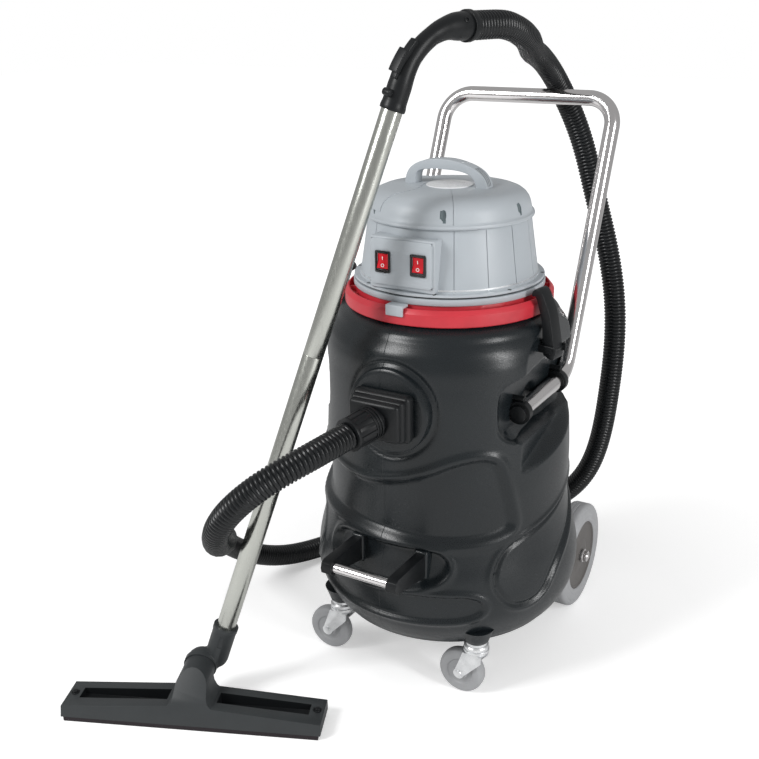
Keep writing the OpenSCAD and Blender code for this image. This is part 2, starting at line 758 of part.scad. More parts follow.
// Children are placed where the lower bend ends, +Z up the leg
module at_leg() {
    at_foot_bend() rotate([0, 0, foot_turn]) translate([foot_bend_r, 0, 0])
        rotate([-90, 0, 0]) rotate([0, 0, -90]) children();
}
module push_handle() {
    color("#d9dce0") union() {
        both_sides() {
            translate([push_x, push_front_y, push_foot_z]) rotate([-90, 0, 0])
                linear_extrude(push_foot_len) ring_profile(push_r, push_wall);
            at_foot_bend() rotate_extrude(angle = foot_turn) translate([foot_bend_r, 0])
                rotate(90) ring_profile(push_r, push_wall);
            at_leg() {
                linear_extrude(leg_len) ring_profile(push_r, push_wall);
                translate([-top_bend_r, 0, leg_len]) rotate([90, 0, 0])
                    rotate_extrude(angle = 90) translate([top_bend_r, 0])
                        ring_profile(push_r, push_wall);
            }
        }
        at_leg() translate([-top_bend_r, 0, leg_len + top_bend_r]) rotate([0, -90, 0])
            linear_extrude(2 * (push_x - top_bend_r)) ring_profile(push_r, push_wall);
    }
}
clamp_r = push_r + 4.5;
clamp_len = 18;
front_clamp_y = push_front_y + 3;
rear_clamp_y = push_foot_y - foot_tangent - clamp_len - 1;
module at_clamps() {
    both_sides() for (y = [front_clamp_y, rear_clamp_y]) translate([push_x, y, push_foot_z]) children();
}
module handle_clamps() {
    color("#1d1f21") difference() {
        at_clamps() {
            translate([pocket_x - push_x, 0, -clamp_r])
                cube([push_x - pocket_x, clamp_len, 2 * clamp_r]);
            rotate([-90, 0, 0]) cylinder(r = clamp_r, h = clamp_len);
        }
        both_sides() {
            translate([push_x, front_clamp_y - eps, push_foot_z]) rotate([-90, 0, 0])
                cylinder(r = push_r + run, h = rear_clamp_y + clamp_len - front_clamp_y + 2 * eps);
            // they end at the pocket's wall
            translate([pocket_x - clamp_r, -belly_r, push_foot_z - clamp_r - 1])
                cube([clamp_r, 2 * belly_r, 2 * clamp_r + 2]);
        }
    }
}
module clamp_screws() {
    color("#2a2c2e") at_clamps() translate([-6, clamp_len / 2, clamp_r]) {
        cylinder(r = 4.5, h = 4);
        translate([0, 0, 4]) cylinder(r = 2.6, h = 1.5);
    }
}
module tube_caps() {
    color("#17181a") both_sides() translate([push_x, push_front_y, push_foot_z]) rotate([90, 0, 0]) {
        cylinder(r = push_r + 0.3, h = 5);
        translate([0, 0, -12]) cylinder(r = push_r - push_wall - run, h = 12);
    }
}

// ---- front grip ----
module grip_bar() {
    color("#d9dce0") translate([-arm_x - arm_w / 2 + 3, -grip_y, grip_z]) rotate([0, 90, 0]) difference() {
        cylinder(r = grip_r, h = 2 * arm_x + arm_w - 6);
        translate([0, 0, -eps]) cylinder(r = grip_r - 1.5, h = 2 * arm_x + arm_w);
    }
}
module grip_arms() {
    color("#1d1f21") difference() {
        both_sides() translate([arm_x - arm_w / 2, 0, 0]) rotate([90, 0, 90]) linear_extrude(arm_w)
            polygon([
                [-pad_y, grip_z + 11], [-grip_y - 3, grip_z + 13], [-grip_y - 10, grip_z + 9],
                [-grip_y - 13, grip_z + 1], [-grip_y - 11, grip_z - 8], [-grip_y - 3, grip_z - 13],
                [-grip_y + 12, grip_z - 14], [-pad_y, grip_z - 29]]);
        translate([-arm_x - arm_w / 2 + 3, -grip_y, grip_z]) rotate([0, 90, 0])
            cylinder(r = grip_r + run, h = 2 * arm_x + arm_w - 6);
    }
}

// ---- rear wheels ----
module rear_axle() {
    color("#8d9297") translate([-wheel_x - 8, axle_y, wheel_r]) rotate([0, 90, 0])
        cylinder(r = axle_r, h = 2 * wheel_x + 16);
}
module axle_nuts() {
    color("#d5d8db") both_sides() translate([wheel_x + gap, axle_y, wheel_r]) rotate([0, 90, 0])
        difference() {
            union() {
                cylinder(r = axle_r + 5, h = 3);
                cylinder(r = axle_r + 3, h = 8, $fn = 6);
                translate([0, 0, 8]) cylinder(r1 = axle_r + 1, r2 = axle_r - 3, h = 6);
            }
            translate([0, 0, -eps]) cylinder(r = axle_r + run, h = 9);
        }
}
module at_wheel(side) {
    mirror([side < 0 ? 1 : 0, 0, 0]) translate([wheel_x - wheel_w, axle_y, wheel_r])
        rotate([0, 90, 0]) children();
}
module tyre(side) {
    at_wheel(side) rotate_extrude() polygon([
        [hub_r + run, 0], [wheel_r - 14, 0], [wheel_r - 4, 3], [wheel_r, 9],
        [wheel_r, wheel_w - 9], [wheel_r - 4, wheel_w - 3], [wheel_r - 14, wheel_w],
        [hub_r + 7, wheel_w], [hub_r + run, wheel_w - 3]]);
}
module hub(side) {
    at_wheel(side) rotate_extrude() polygon([
        [axle_r + run, 0], [24, 0], [26, 12], [hub_r - 10, 12], [hub_r - 8, 0], [hub_r, 0],
        [hub_r, wheel_w - 4], [hub_r - 6, wheel_w - 6], [30, wheel_w - 9], [24, wheel_w],
        [axle_r + run, wheel_w]]);
}
module tyre_left() {
    color("#a3a5a8") tyre(-1);
}
module tyre_right() {
    color("#a3a5a8") tyre(1);
}
module hub_left() {
    color("#5d5a58") hub(-1);
}
module hub_right() {
    color("#5d5a58") hub(1);
}

// ---- casters ----
stem_r = 6;
socket_t = 4;
crown_z = 2 * caster_r + 3;
fork_gap = caster_w / 2 + 2;
fork_t = 2.5;
caster_pin_r = 4;
module at_caster(side) {
    translate([side * caster_x, -caster_y, 0]) children();
}
module caster_sockets() {
    color("#c9ccce") for (side = [-1, 1]) at_caster(side)
        translate([0, 0, tank_z + 3 - socket_t]) ring(foot_r - 2, stem_r + run, socket_t);
}
module caster_fork(side) {
    at_caster(side) {
        translate([0, 0, crown_z]) cylinder(r = 18, h = tank_z + 3 - socket_t - gap - crown_z);
        translate([0, 0, crown_z]) cylinder(r = stem_r, h = tank_z + 36 - crown_z);
        for (y = [-fork_gap - fork_t, fork_gap])
            translate([0, y + fork_t, 0]) rotate([90, 0, 0]) linear_extrude(fork_t) difference() {
                union() {
                    polygon([[-18, crown_z + 2], [16, crown_z + 2], [15, crown_z - 12],
                             [-caster_trail + 8, caster_r - 4], [-caster_trail - 9, caster_r]]);
                    translate([-caster_trail, caster_r]) circle(9.5, $fn = 48);
                }
                translate([-caster_trail, caster_r]) circle(caster_pin_r, $fn = 48);
            }
        translate([-18, -fork_gap - fork_t, crown_z]) cube([34, 2 * (fork_gap + fork_t), 2]);
        translate([-caster_trail, fork_gap + fork_t + 3, caster_r]) rotate([90, 0, 0]) {
            cylinder(r = caster_pin_r, h = 2 * (fork_gap + fork_t + 3));
            cylinder(r = 6.5, h = 3);
            translate([0, 0, 2 * (fork_gap + fork_t) + 3]) cylinder(r = 6.5, h = 3);
        }
    }
}
module caster_fork_left() {
    color("#cfd2d4") caster_fork(-1);
}
module caster_fork_right() {
    color("#cfd2d4") caster_fork(1);
}
module caster_wheel(side) {
    at_caster(side) translate([-caster_trail, caster_w / 2, caster_r]) rotate([90, 0, 0])
        rotate_extrude() polygon([
            [caster_pin_r + run, 0], [12, 0], [13, 3], [22, 3], [24, 1], [caster_r - 5, 1],
            [caster_r - 1, 4], [caster_r, 8], [caster_r, caster_w - 8],
            [caster_r - 1, caster_w - 4], [caster_r - 5, caster_w - 1], [24, caster_w - 1],
            [22, caster_w - 3], [13, caster_w - 3], [12, caster_w], [caster_pin_r + run, caster_w]]);
}
module caster_wheel_left() {
    color("#9c9ea2") caster_wheel(-1);
}
module caster_wheel_right() {
    color("#9c9ea2") caster_wheel(1);
}

// ---- wand ----
wand_foot = [-236, -351, 133];
wand_dir = heading(wand_heading, 90 - wand_lean);
swage = 1.5;
joint_overlap = 50;
tube_seat = 38; // depth of the sockets in the grip and in the tool's collar
stop_t = 3; // shoulder that the upper tube stops against
module wand_axis(s) {
    aimed(wand_foot + s * wand_dir, wand_dir, [1, 0, 0]) children();
}
module wand_lower() {
    color("#b9bab4") wand_axis(-tube_seat) ring(wand_r, wand_r - wand_wall, tube_seat + wand_low_len);
}
module wand_upper() {
    color("#b9bab4") difference() {
        union() {
            wand_axis(wand_low_len) cylinder(r = wand_r, h = wand_len + tube_seat - stop_t - wand_low_len);
            wand_axis(wand_low_len - joint_overlap)
                cylinder(r = wand_r - wand_wall - run, h = joint_overlap + eps);
        }
        wand_axis(wand_low_len - joint_overlap - eps)
            cylinder(r = wand_r - 2 * wand_wall, h = wand_len + tube_seat);
    }
}

// ---- curved grip ----
grip_r_out = 18;
grip_wall = 4;
grip_bore = wand_r + run;
grip_dir = heading(grip_heading);
grip_angle = acos(wand_dir * grip_dir);
grip_end_len = 34;
grip_mouth = wand_foot + wand_len * wand_dir;
grip_side = unit(grip_dir - (grip_dir * wand_dir) * wand_dir);
grip_centre = grip_mouth + tube_seat * wand_dir + grip_bend * grip_side;
grip_turn_end = grip_centre + grip_bend * (sin(grip_angle) * wand_dir - cos(grip_angle) * grip_side);
hose_end = grip_turn_end + grip_end_len * grip_dir;
// Children are placed from the grip's mouth: +Z up the wand, +X to the inner side of the bend
module in_grip() {
    aimed(grip_mouth, wand_dir, grip_side) children();
}
module grip_arc(start, turn) {
    in_grip() translate([grip_bend, 0, tube_seat]) rotate([-90, 0, 0])
        rotate([0, 0, 180 + start]) rotate_extrude(angle = turn) children();
}
// Children are placed where the bend ends, +Z towards the hose
module grip_tail() {
    in_grip() translate([grip_bend, 0, tube_seat]) rotate([-90, 0, 0]) rotate([0, 0, 180])
        rotate([0, 0, grip_angle]) translate([grip_bend, 0, 0]) rotate([-90, 0, 0]) children();
}
collar_h = 14; // length of the swivel collar
collar_lip = 3.5; // thickness of its wall towards the hose
slide_from = 6;
slide_turn = 16;
slide_travel = 6;
module wand_grip() {
    color("#232527") union() {
        in_grip() {
            rotate([0, 0, 180]) rotate_extrude() polygon([
                [grip_bore, 0], [grip_r_out, 0], [grip_r_out, tube_seat],
                [grip_r_out - grip_wall, tube_seat], [grip_r_out - grip_wall, tube_seat - stop_t],
                [grip_bore, tube_seat - stop_t]]);
            linear_extrude(14) ring_profile(grip_r_out + 1.5, 2.5);
        }
        grip_arc(0, grip_angle) translate([grip_bend, 0]) ring_profile(grip_r_out, grip_wall);
        grip_tail() {
            linear_extrude(grip_end_len - collar_lip - gap)
                ring_profile(grip_r_out, grip_wall);
            translate([0, 0, -6])
                linear_extrude(grip_end_len + 6 - collar_h - gap) ring_profile(grip_r_out + 4, 6);
        }
        // rail of the air slide, on the outer side of the bend
        grip_arc(slide_from - 4, slide_turn + slide_travel + 8)
            translate([grip_bend + 16, -6]) square([4, 12]);
    }
}
module air_slide() {
    color("#1a1b1d") grip_arc(slide_from, slide_turn) union() {
        translate([grip_bend + 20 + gap, -8]) square([5, 16]);
        for (y = [-8, 6 + gap]) translate([grip_bend + 17.3, y]) square([4, 2 - gap]);
    }
}
// Swivel collar that joins the hose to the grip
module grip_collar() {
    color("#1a1b1d") aimed(hose_end - collar_h * grip_dir, grip_dir, wand_dir) difference() {
        union() {
            cylinder(r = grip_r_out + 5, h = 8);
            cylinder(r = grip_r_out + 3.5, h = collar_h);
        }
        translate([0, 0, -eps]) cylinder(r = grip_r_out + run, h = collar_h - collar_lip + eps);
        cylinder(r = cuff_bore_r, h = collar_h + eps);
    }
}

// ---- hose ----
// Centreline, from the tank's cuff down to the floor, round the back and up to the curved grip.
// The first and last points follow from the two cuffs; the curve is a cubic B-spline.
hose_lead = 42; // straight run at each end, one hose diameter
hose_route = concat(
    [hose_start - hose_lead * inlet_dir, hose_start, hose_start + hose_lead * inlet_dir,
     hose_start + 2 * hose_lead * inlet_dir],
    [[-80, -440, 470], [-145, -460, 405], [-190, -420, 330], [-230, -340, 290],
     [-285, -285, 260], [-335, -230, 225], [-380, -175, 175], [-410, -120, 120],
     [-405, -50, 65], [-380, 25, 30], [-345, 105, 22], [-310, 190, 22], [-265, 275, 22],
     [-200, 345, 22], [-120, 395, 25], [-25, 420, 45], [60, 425, 90], [120, 425, 165],
     [145, 420, 260], [155, 415, 355], [160, 420, 460], [150, 430, 560], [125, 435, 660],
     [95, 430, 755], [70, 420, 860], [35, 375, 960], [30, 290, 1015], [50, 195, 1025],
     [85, 110, 1050]],
    [hose_end + 2 * hose_lead * grip_dir, hose_end + hose_lead * grip_dir, hose_end,
     hose_end - hose_lead * grip_dir]);
route_steps = 8; // points on each span of the curve
function spline(p, i, t) = ((1 - t) ^ 3 * p[i] + (3 * t ^ 3 - 6 * t ^ 2 + 4) * p[i + 1]
    + (1 + 3 * t + 3 * t ^ 2 - 3 * t ^ 3) * p[i + 2] + t ^ 3 * p[i + 3]) / 6;
spans = len(hose_route) - 3;
hose_line = [for (k = [0 : spans * route_steps])
    let (i = min(floor(k / route_steps), spans - 1)) spline(hose_route, i, k / route_steps - i)];
// Distance along the line at each of its points
hose_marks = [for (k = 0, s = 0; k < len(hose_line);
    s = s + (k + 1 < len(hose_line) ? norm(hose_line[k + 1] - hose_line[k]) : 0), k = k + 1) s];
hose_len = hose_marks[len(hose_line) - 1];
hose_x = [for (k = [0 : len(hose_line) - 1]) [hose_marks[k], hose_line[k].x]];
hose_y = [for (k = [0 : len(hose_line) - 1]) [hose_marks[k], hose_line[k].y]];
hose_z = [for (k = [0 : len(hose_line) - 1]) [hose_marks[k], hose_line[k].z]];
function hose_at(s) = [lookup(s, hose_x), lookup(s, hose_y), lookup(s, hose_z)];
rib_rings = 2 * rib_count;
ring_at = [for (k = [0 : rib_rings]) hose_at(hose_len * k / rib_rings)];
ring_dir = [for (k = [0 : rib_rings]) k == 0 ? inlet_dir : k == rib_rings ? -grip_dir
    : unit(ring_at[k + 1] - ring_at[k - 1])];
// A side direction for each ring that never twists about the line
ring_side = [for (k = 0, v = unit(cross(ring_dir[0], [0, 0, 1])); k <= rib_rings;
    k = k + 1, v = k > rib_rings ? v : unit(v - (v * ring_dir[k]) * ring_dir[k])) v];
sides = 8;
function ring_points(k, r) = [for (j = [0 : sides - 1])
    let (a = 360 * (j + 0.5) / sides)
        ring_at[k] + r * (cos(a) * ring_side[k] + sin(a) * cross(ring_dir[k], ring_side[k]))];
function ring_radius(k) = k % 2 == 1 ? hose_r : hose_r - rib_depth;
bore_step = 4; // rings of the outside for each ring of the bore
bore_rings = rib_rings / bore_step;
// Two triangles for each side between one ring and the next
function band(from, to, flip) = [for (j = [0 : sides - 1])
    let (a = from + j, b = from + (j + 1) % sides, c = to + (j + 1) % sides, d = to + j)
        each flip ? [[a, b, c], [a, c, d]] : [[a, d, c], [a, c, b]]];
bore_first = sides * (rib_rings + 1);
module hose() {
    color("#15171a") polyhedron(
        points = concat(
            [for (k = [0 : rib_rings]) each ring_points(k, ring_radius(k))],
            [for (k = [0 : bore_rings]) each ring_points(k * bore_step, cuff_bore_r)]),
        faces = concat(
            [for (k = [0 : rib_rings - 1]) each band(sides * k, sides * (k + 1), false)],
            [for (k = [0 : bore_rings - 1])
                each band(bore_first + sides * k, bore_first + sides * (k + 1), true)],
            band(0, bore_first, true),
            band(sides * rib_rings, bore_first + sides * bore_rings, false)));
}
near = 12; // points this close along the line are one stretch of hose
last_point = len(hose_line) - 1;
hose_gap = min([for (i = [0 : 2 : last_point - near], j = [i + near : 2 : last_point])
    norm(hose_line[i] - hose_line[j])]) - 2 * hose_r;
echo(hose_length_mm = round(hose_len), least_gap_to_itself_mm = hose_gap);

// ---- floor tool ----
// The tool's own frame has X along it, Y to its back and Z up
tool_at = [-248, -434, 0];
neck_end = [0, 46, 66]; // where the neck meets the elbow
neck_dir = [0, cos(neck_rise), sin(neck_rise)];
elbow_len = 62; // from the wand's foot back to the elbow
elbow_top = wand_foot - elbow_len * wand_dir;
elbow_band = 9;
swivel_gap = 0.6;
tool_yaw = heading(90 + tool_turn, neck_rise); // the neck's direction in the object's frame
elbow_back = tool_at + [-sin(tool_turn) * neck_end.y, cos(tool_turn) * neck_end.y, neck_end.z]
    + 10 * tool_yaw;
air_r = 14;
collar_r = 20;
module tool_frame() {
    translate(tool_at) rotate([0, 0, tool_turn]) children();
}
module at_neck(s) {
    tool_frame() aimed(neck_end + s * neck_dir, neck_dir, [1, 0, 0]) children();
}
// Elbow on the wand, which turns in the tool's neck
module tool_collar() {
    color("#202326") difference() {
        union() {
            intersection() {
                union() {
                    translate(elbow_back) sphere(r = neck_tube_r);
                    aimed(elbow_back, elbow_top - elbow_back, [0, 0, 1])
                        cylinder(r1 = neck_tube_r - 1, r2 = collar_r - 1, h = norm(elbow_top - elbow_back));
                    translate(elbow_top) sphere(r = collar_r - 0.4);
                }
                at_neck(swivel_gap) cylinder(r = 80, h = 100);
            }
            at_neck(swivel_gap) cylinder(r = neck_tube_r + 2, h = elbow_band);
            at_neck(-14) cylinder(r = neck_tube_r - 5, h = 16);
            wand_axis(-elbow_len) cylinder(r = collar_r, h = elbow_len);
            wand_axis(-8) cylinder(r = collar_r + 1, h = 8);
        }
        wand_axis(-tube_seat) cylinder(r = wand_r + run, h = tube_seat + eps);
        wand_axis(-elbow_len - 12) cylinder(r = air_r, h = elbow_len);
        at_neck(-15) cylinder(r = air_r, h = 40);
        // slot on the collar's front
        aimed(wand_foot - 34 * wand_dir, wand_dir, [0.5, -1, 0])
            translate([collar_r - 1.5, -4, 0]) cube([4, 8, 22]);
    }
}
body_z = strip_h;
end_z = body_z + tool_end_h;
mid_z = body_z + tool_mid_h;
mid_half = 37; // half the width of the level middle
hood_r = 27;
hood_z = 61;
duct_y = 18;
duct_z = neck_end.z - (neck_end.y - duct_y) * tan(neck_rise);
screw_x = tool_w / 2 - 11.5;
slot_in = 42;
slot_out = screw_x - 12;
slot_front = -8;
slot_back = 18;
module tool_body() {
    color("#3f4243") tool_frame() difference() {
        union() {
            translate([0, tool_d / 2, 0]) rotate([90, 0, 0]) linear_extrude(tool_d) polygon([
                [-tool_w / 2, body_z], [tool_w / 2, body_z], [tool_w / 2, end_z],
                [mid_half, mid_z], [-mid_half, mid_z], [-tool_w / 2, end_z]]);
            // arched hood over the middle
            translate([0, tool_d / 2 - 2, 0]) rotate([90, 0, 0]) linear_extrude(tool_d - 4)
                union() {
                    polygon([[-mid_half, mid_z - 4], [mid_half, mid_z - 4], [mid_half, mid_z],
                             [hood_r + 5, mid_z + 5], [hood_r + 1, mid_z + 14], [hood_r, hood_z],
                             [-hood_r, hood_z], [-hood_r - 1, mid_z + 14],
                             [-hood_r - 5, mid_z + 5], [-mid_half, mid_z]]);
                    translate([0, hood_z]) circle(hood_r);
                }
            aimed(neck_end - 40 * neck_dir, neck_dir, [1, 0, 0])
                cylinder(r = neck_tube_r, h = 40);
        }
        // sloping front of the hood, and of the body
        translate([0, -tool_d / 2 + 3, mid_z]) rotate([-42, 0, 0])
            translate([-60, -60, 0]) cube([120, 60, 120]);
        translate([0, -tool_d / 2, body_z]) rotate([-15, 0, 0])
            translate([-tool_w, -40, 0]) cube([2 * tool_w, 40, 60]);
        // pockets beside the hood, level seats for the screws
        both_sides() {
            translate([slot_in, slot_front, body_z + 8])
                cube([slot_out - slot_in, slot_back - slot_front, tool_mid_h]);
            translate([screw_x, 6, end_z - 1]) cylinder(r = 7, h = 10);
        }
        // suction mouth: a channel underneath and the neck's bore
        translate([-tool_w / 2 + 14, -20, body_z - eps]) cube([tool_w - 28, 40, 4 + eps]);
        translate([0, duct_y, body_z]) cylinder(r = air_r, h = duct_z - body_z);
        aimed([0, duct_y, duct_z], neck_dir, [1, 0, 0]) {
            sphere(r = air_r);
            cylinder(r = air_r, h = 60);
        }
        aimed(neck_end - 15 * neck_dir, neck_dir, [1, 0, 0])
            cylinder(r = neck_tube_r - 5 + run, h = 16);
    }
}
module tool_strips() {
    color("#1c1a1a") tool_frame() for (y = [-tool_d / 2 + 3, tool_d / 2 - 9])
        translate([-tool_w / 2 + 4, y, 0]) cube([tool_w - 8, 6, strip_h]);
}
module tool_screws() {
    color("#151617") tool_frame() both_sides() translate([screw_x, 6, end_z - 1]) {
        cylinder(r = 5.5, h = 2);
        cylinder(r = 4.2, h = 6);
    }
}

tank();
tank_gasket();
inlet_block();
inlet_deflector();
tank_cuff();
release_button();
bumper_ring();
ring_clip();
base_flange();
motor_housing();
dome_cover();
carry_handle();
dome_disc();
head_screws();
switch_panel();
switch_frames();
rocker_left();
rocker_right();
motor_plate();
motor_left();
motor_right();
rotor_left();
rotor_right();
sound_foam();
cable_gland();
float_cage();
float_ball();
cartridge_filter();
latch_left();
latch_right();
latch_brackets();
push_handle();
handle_clamps();
clamp_screws();
tube_caps();
grip_bar();
grip_arms();
rear_axle();
axle_nuts();
tyre_left();
tyre_right();
hub_left();
hub_right();
caster_sockets();
caster_fork_left();
caster_fork_right();
caster_wheel_left();
caster_wheel_right();
wand_lower();
wand_upper();
wand_grip();
air_slide();
grip_collar();
hose();
tool_collar();
tool_body();
tool_strips();
tool_screws();
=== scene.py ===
# %% [markdown]
# A wheeled wet and dry vacuum cleaner: a moulded tank on wheels, a grey head with two motors, a
# chrome push handle, a ribbed hose, a steel wand and a wide floor tool. The CAD frame already has
# each piece at its place. Some pieces only get soft edges here. Others, such as the tank, the head
# and the hose, are drawn again at the same places with finer mouldings. All get their finishes.

# %% Frame
import json
import math
import bmesh
import bpy
import numpy as np
from mathutils import Matrix, Vector


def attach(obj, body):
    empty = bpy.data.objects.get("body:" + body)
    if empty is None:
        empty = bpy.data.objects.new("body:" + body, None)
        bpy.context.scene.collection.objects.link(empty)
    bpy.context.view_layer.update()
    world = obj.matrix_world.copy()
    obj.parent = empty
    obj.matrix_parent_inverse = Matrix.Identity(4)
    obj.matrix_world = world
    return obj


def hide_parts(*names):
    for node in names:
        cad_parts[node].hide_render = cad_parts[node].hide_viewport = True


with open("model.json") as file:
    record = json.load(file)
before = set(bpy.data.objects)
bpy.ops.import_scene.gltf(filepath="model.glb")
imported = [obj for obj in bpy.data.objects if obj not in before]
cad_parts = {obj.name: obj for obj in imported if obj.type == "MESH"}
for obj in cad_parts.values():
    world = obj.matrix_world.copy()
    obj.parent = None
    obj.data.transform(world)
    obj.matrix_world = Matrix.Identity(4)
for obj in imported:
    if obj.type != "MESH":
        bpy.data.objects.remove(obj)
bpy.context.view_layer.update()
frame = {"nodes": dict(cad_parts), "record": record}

NODES = frame["nodes"]
MM = 0.001

# %% [markdown]
# The camera stands a little above the head, in front and to the right. Its axes are written as
# three rows, because a rotation in degrees would hide the slight roll.

# %% Camera
CAMERA_AT = Vector((0.73959, -1.48749, 1.12810))
CAMERA_RIGHT = Vector((0.864415, 0.502541, -0.015468))
CAMERA_UP = Vector((-0.165728, 0.313842, 0.934900))
CAMERA_BACK = Vector((0.474680, -0.805578, 0.354575))
bpy.ops.object.select_all(action="DESELECT")
bpy.ops.object.camera_add()
camera = bpy.context.object
camera.name = "camera"
camera.data.lens = 48.98
camera.data.sensor_width = 36.0
camera.data.clip_end = 60.0
axes = Matrix((CAMERA_RIGHT, CAMERA_UP, CAMERA_BACK)).transposed()
camera.matrix_world = Matrix.Translation(CAMERA_AT) @ axes.to_4x4()
bpy.context.scene.camera = camera
print("camera lens", camera.data.lens)

# %% [markdown]
# Most finishes here are moulded plastic, steel and rubber. Real mouldings are never one flat
# colour: handling and the grain of the mould change both the colour and the gloss a little. One
# helper joins a broad mottle, a fine grain and a bump, all read from Object coordinates, so that
# the pattern stays on the piece when it moves.

# %% Finishes
def node_tree(name, colour, rough, metallic=0.0):
    mat = bpy.data.materials.new(name)
    mat.use_nodes = True
    mat.diffuse_color = (*colour, 1.0)
    shader = mat.node_tree.nodes["Principled BSDF"]
    shader.inputs["Base Color"].default_value = (*colour, 1.0)
    shader.inputs["Roughness"].default_value = rough
    shader.inputs["Metallic"].default_value = metallic
    return mat, mat.node_tree.nodes, mat.node_tree.links, shader


def noise(nodes, links, scale, detail=3.0, stretch=None, turn=None):
    where = nodes.new("ShaderNodeTexCoord")
    out = where.outputs["Object"]
    if stretch:
        mapping = nodes.new("ShaderNodeMapping")
        mapping.inputs["Scale"].default_value = stretch
        if turn:
            mapping.inputs["Rotation"].default_value = turn
        links.new(out, mapping.inputs["Vector"])
        out = mapping.outputs["Vector"]
    texture = nodes.new("ShaderNodeTexNoise")
    texture.inputs["Scale"].default_value = scale
    texture.inputs["Detail"].default_value = detail
    links.new(out, texture.inputs["Vector"])
    return texture.outputs["Fac"]


def spread(nodes, links, factor, low, high, start=0.3, end=0.7):
    """A number from low to high while the factor goes from start to end, a noise's middle."""
    ramp = nodes.new("ShaderNodeMapRange")
    ramp.inputs["From Min"].default_value = start
    ramp.inputs["From Max"].default_value = end
    ramp.inputs["To Min"].default_value = low
    ramp.inputs["To Max"].default_value = high
    links.new(factor, ramp.inputs["Value"])
    return ramp.outputs["Result"]


def finish(name, colour, rough, metallic=0.0, mottle=0.08, patch=7.0, grain=900.0, depth=0.06,
           rough_spread=0.05, stretch=None, turn=None, sheen=0.5):
    mat, nodes, links, shader = node_tree(name, colour, rough, metallic)
    shader.inputs["Specular IOR Level"].default_value = sheen
    broad = noise(nodes, links, patch)
    mix = nodes.new("ShaderNodeMix")
    mix.data_type = "RGBA"
    mix.inputs["A"].default_value = (*[c * (1 - mottle) for c in colour], 1.0)
    mix.inputs["B"].default_value = (*[min(1, c * (1 + mottle)) for c in colour], 1.0)
    links.new(spread(nodes, links, broad, 0.0, 1.0), mix.inputs["Factor"])
    links.new(mix.outputs["Result"], shader.inputs["Base Color"])
    fine = noise(nodes, links, grain, 2.0, stretch, turn)
    links.new(spread(nodes, links, fine, rough - rough_spread, rough + rough_spread),
              shader.inputs["Roughness"])
    bump = nodes.new("ShaderNodeBump")
    bump.inputs["Strength"].default_value = depth
    bump.inputs["Distance"].default_value = 0.0005
    links.new(fine, bump.inputs["Height"])
    links.new(bump.outputs["Normal"], shader.inputs["Normal"])
    return mat


def maths(nodes, links, operation, first, second=None):
    """The result of one maths node, whose second input is a number or another result."""
    node = nodes.new("ShaderNodeMath")
    node.operation = operation
    links.new(first, node.inputs[0])
    if isinstance(second, float):
        node.inputs[1].default_value = second
    elif second is not None:
        links.new(second, node.inputs[1])
    return node.outputs[0]


def along(nodes, links, where, axis):
    """How far each point lies along an axis."""
    dot = nodes.new("ShaderNodeVectorMath")
    dot.operation = "DOT_PRODUCT"
    dot.inputs[1].default_value = axis
    links.new(where, dot.inputs[0])
    return dot.outputs["Value"]


def seam_line(mat, normal_x, normal_y, offset, width):
    """A thin mould line cut into a finish where an upright plane meets its front half."""
    nodes, links = mat.node_tree.nodes, mat.node_tree.links
    shader = nodes["Principled BSDF"]
    before = shader.inputs["Normal"].links[0].from_node
    where = nodes.new("ShaderNodeTexCoord").outputs["Object"]
    away = maths(nodes, links, "SUBTRACT",
                 along(nodes, links, where, (normal_x, normal_y, 0.0)), offset)
    dip = spread(nodes, links, maths(nodes, links, "ABSOLUTE", away), 0.0, 1.0, 0.0, width)
    front = along(nodes, links, where, (-normal_y, normal_x, 0.0))
    kept = maths(nodes, links, "MAXIMUM", dip, maths(nodes, links, "LESS_THAN", front, 0.0))
    bump = nodes.new("ShaderNodeBump")
    bump.inputs["Strength"].default_value = 0.8
    bump.inputs["Distance"].default_value = 0.0006
    links.new(kept, bump.inputs["Height"])
    links.new(before.outputs["Normal"], bump.inputs["Normal"])
    links.new(bump.outputs["Normal"], shader.inputs["Normal"])
    return mat


TANK = finish("tank_plastic", (0.008, 0.011, 0.013), 0.30, mottle=0.15, patch=5, grain=650,
              depth=0.16, sheen=0.45)
seam_line(TANK, -1.0, 0.0, 0.011, 0.0006)
HEAD = finish("head_plastic", (0.43, 0.465, 0.495), 0.42, mottle=0.03, patch=9, depth=0.10)
HOUSING = finish("housing_plastic", (0.42, 0.455, 0.485), 0.42, mottle=0.03, patch=9, depth=0.10)
RED = finish("ring_plastic", (0.55, 0.030, 0.045), 0.38, mottle=0.12, patch=20, grain=700,
             depth=0.15)
ROCKER = finish("rocker_plastic", (0.62, 0.012, 0.022), 0.18, mottle=0.06, patch=60, depth=0.02)
BLACK = finish("trim_plastic", (0.007, 0.008, 0.009), 0.38, mottle=0.15, patch=12, grain=1100,
               depth=0.12, sheen=0.30)
GLOSS = finish("switch_plastic", (0.010, 0.010, 0.011), 0.22, mottle=0.1, patch=60, depth=0.03)
# The dome's notches get a darker teal grey: painted shade of their hollows.
NOTCH_SHADE = finish("notch_painted_shade", (0.10, 0.13, 0.14), 0.45, mottle=0.05, patch=60, depth=0.05)
DISC = finish("disc_plastic", (0.80, 0.81, 0.82), 0.28, mottle=0.02, patch=30, depth=0.02)
CHROME = finish("chrome", (0.78, 0.76, 0.76), 0.15, 1.0, mottle=0.03, patch=14, grain=260,
                depth=0.015, rough_spread=0.03)
STEEL = finish("wand_steel", (0.56, 0.57, 0.53), 0.24, 1.0, mottle=0.04, patch=10, grain=600,
               depth=0.03, rough_spread=0.05, stretch=(1.0, 1.0, 0.03), turn=(0.19, -0.27, 0.0))
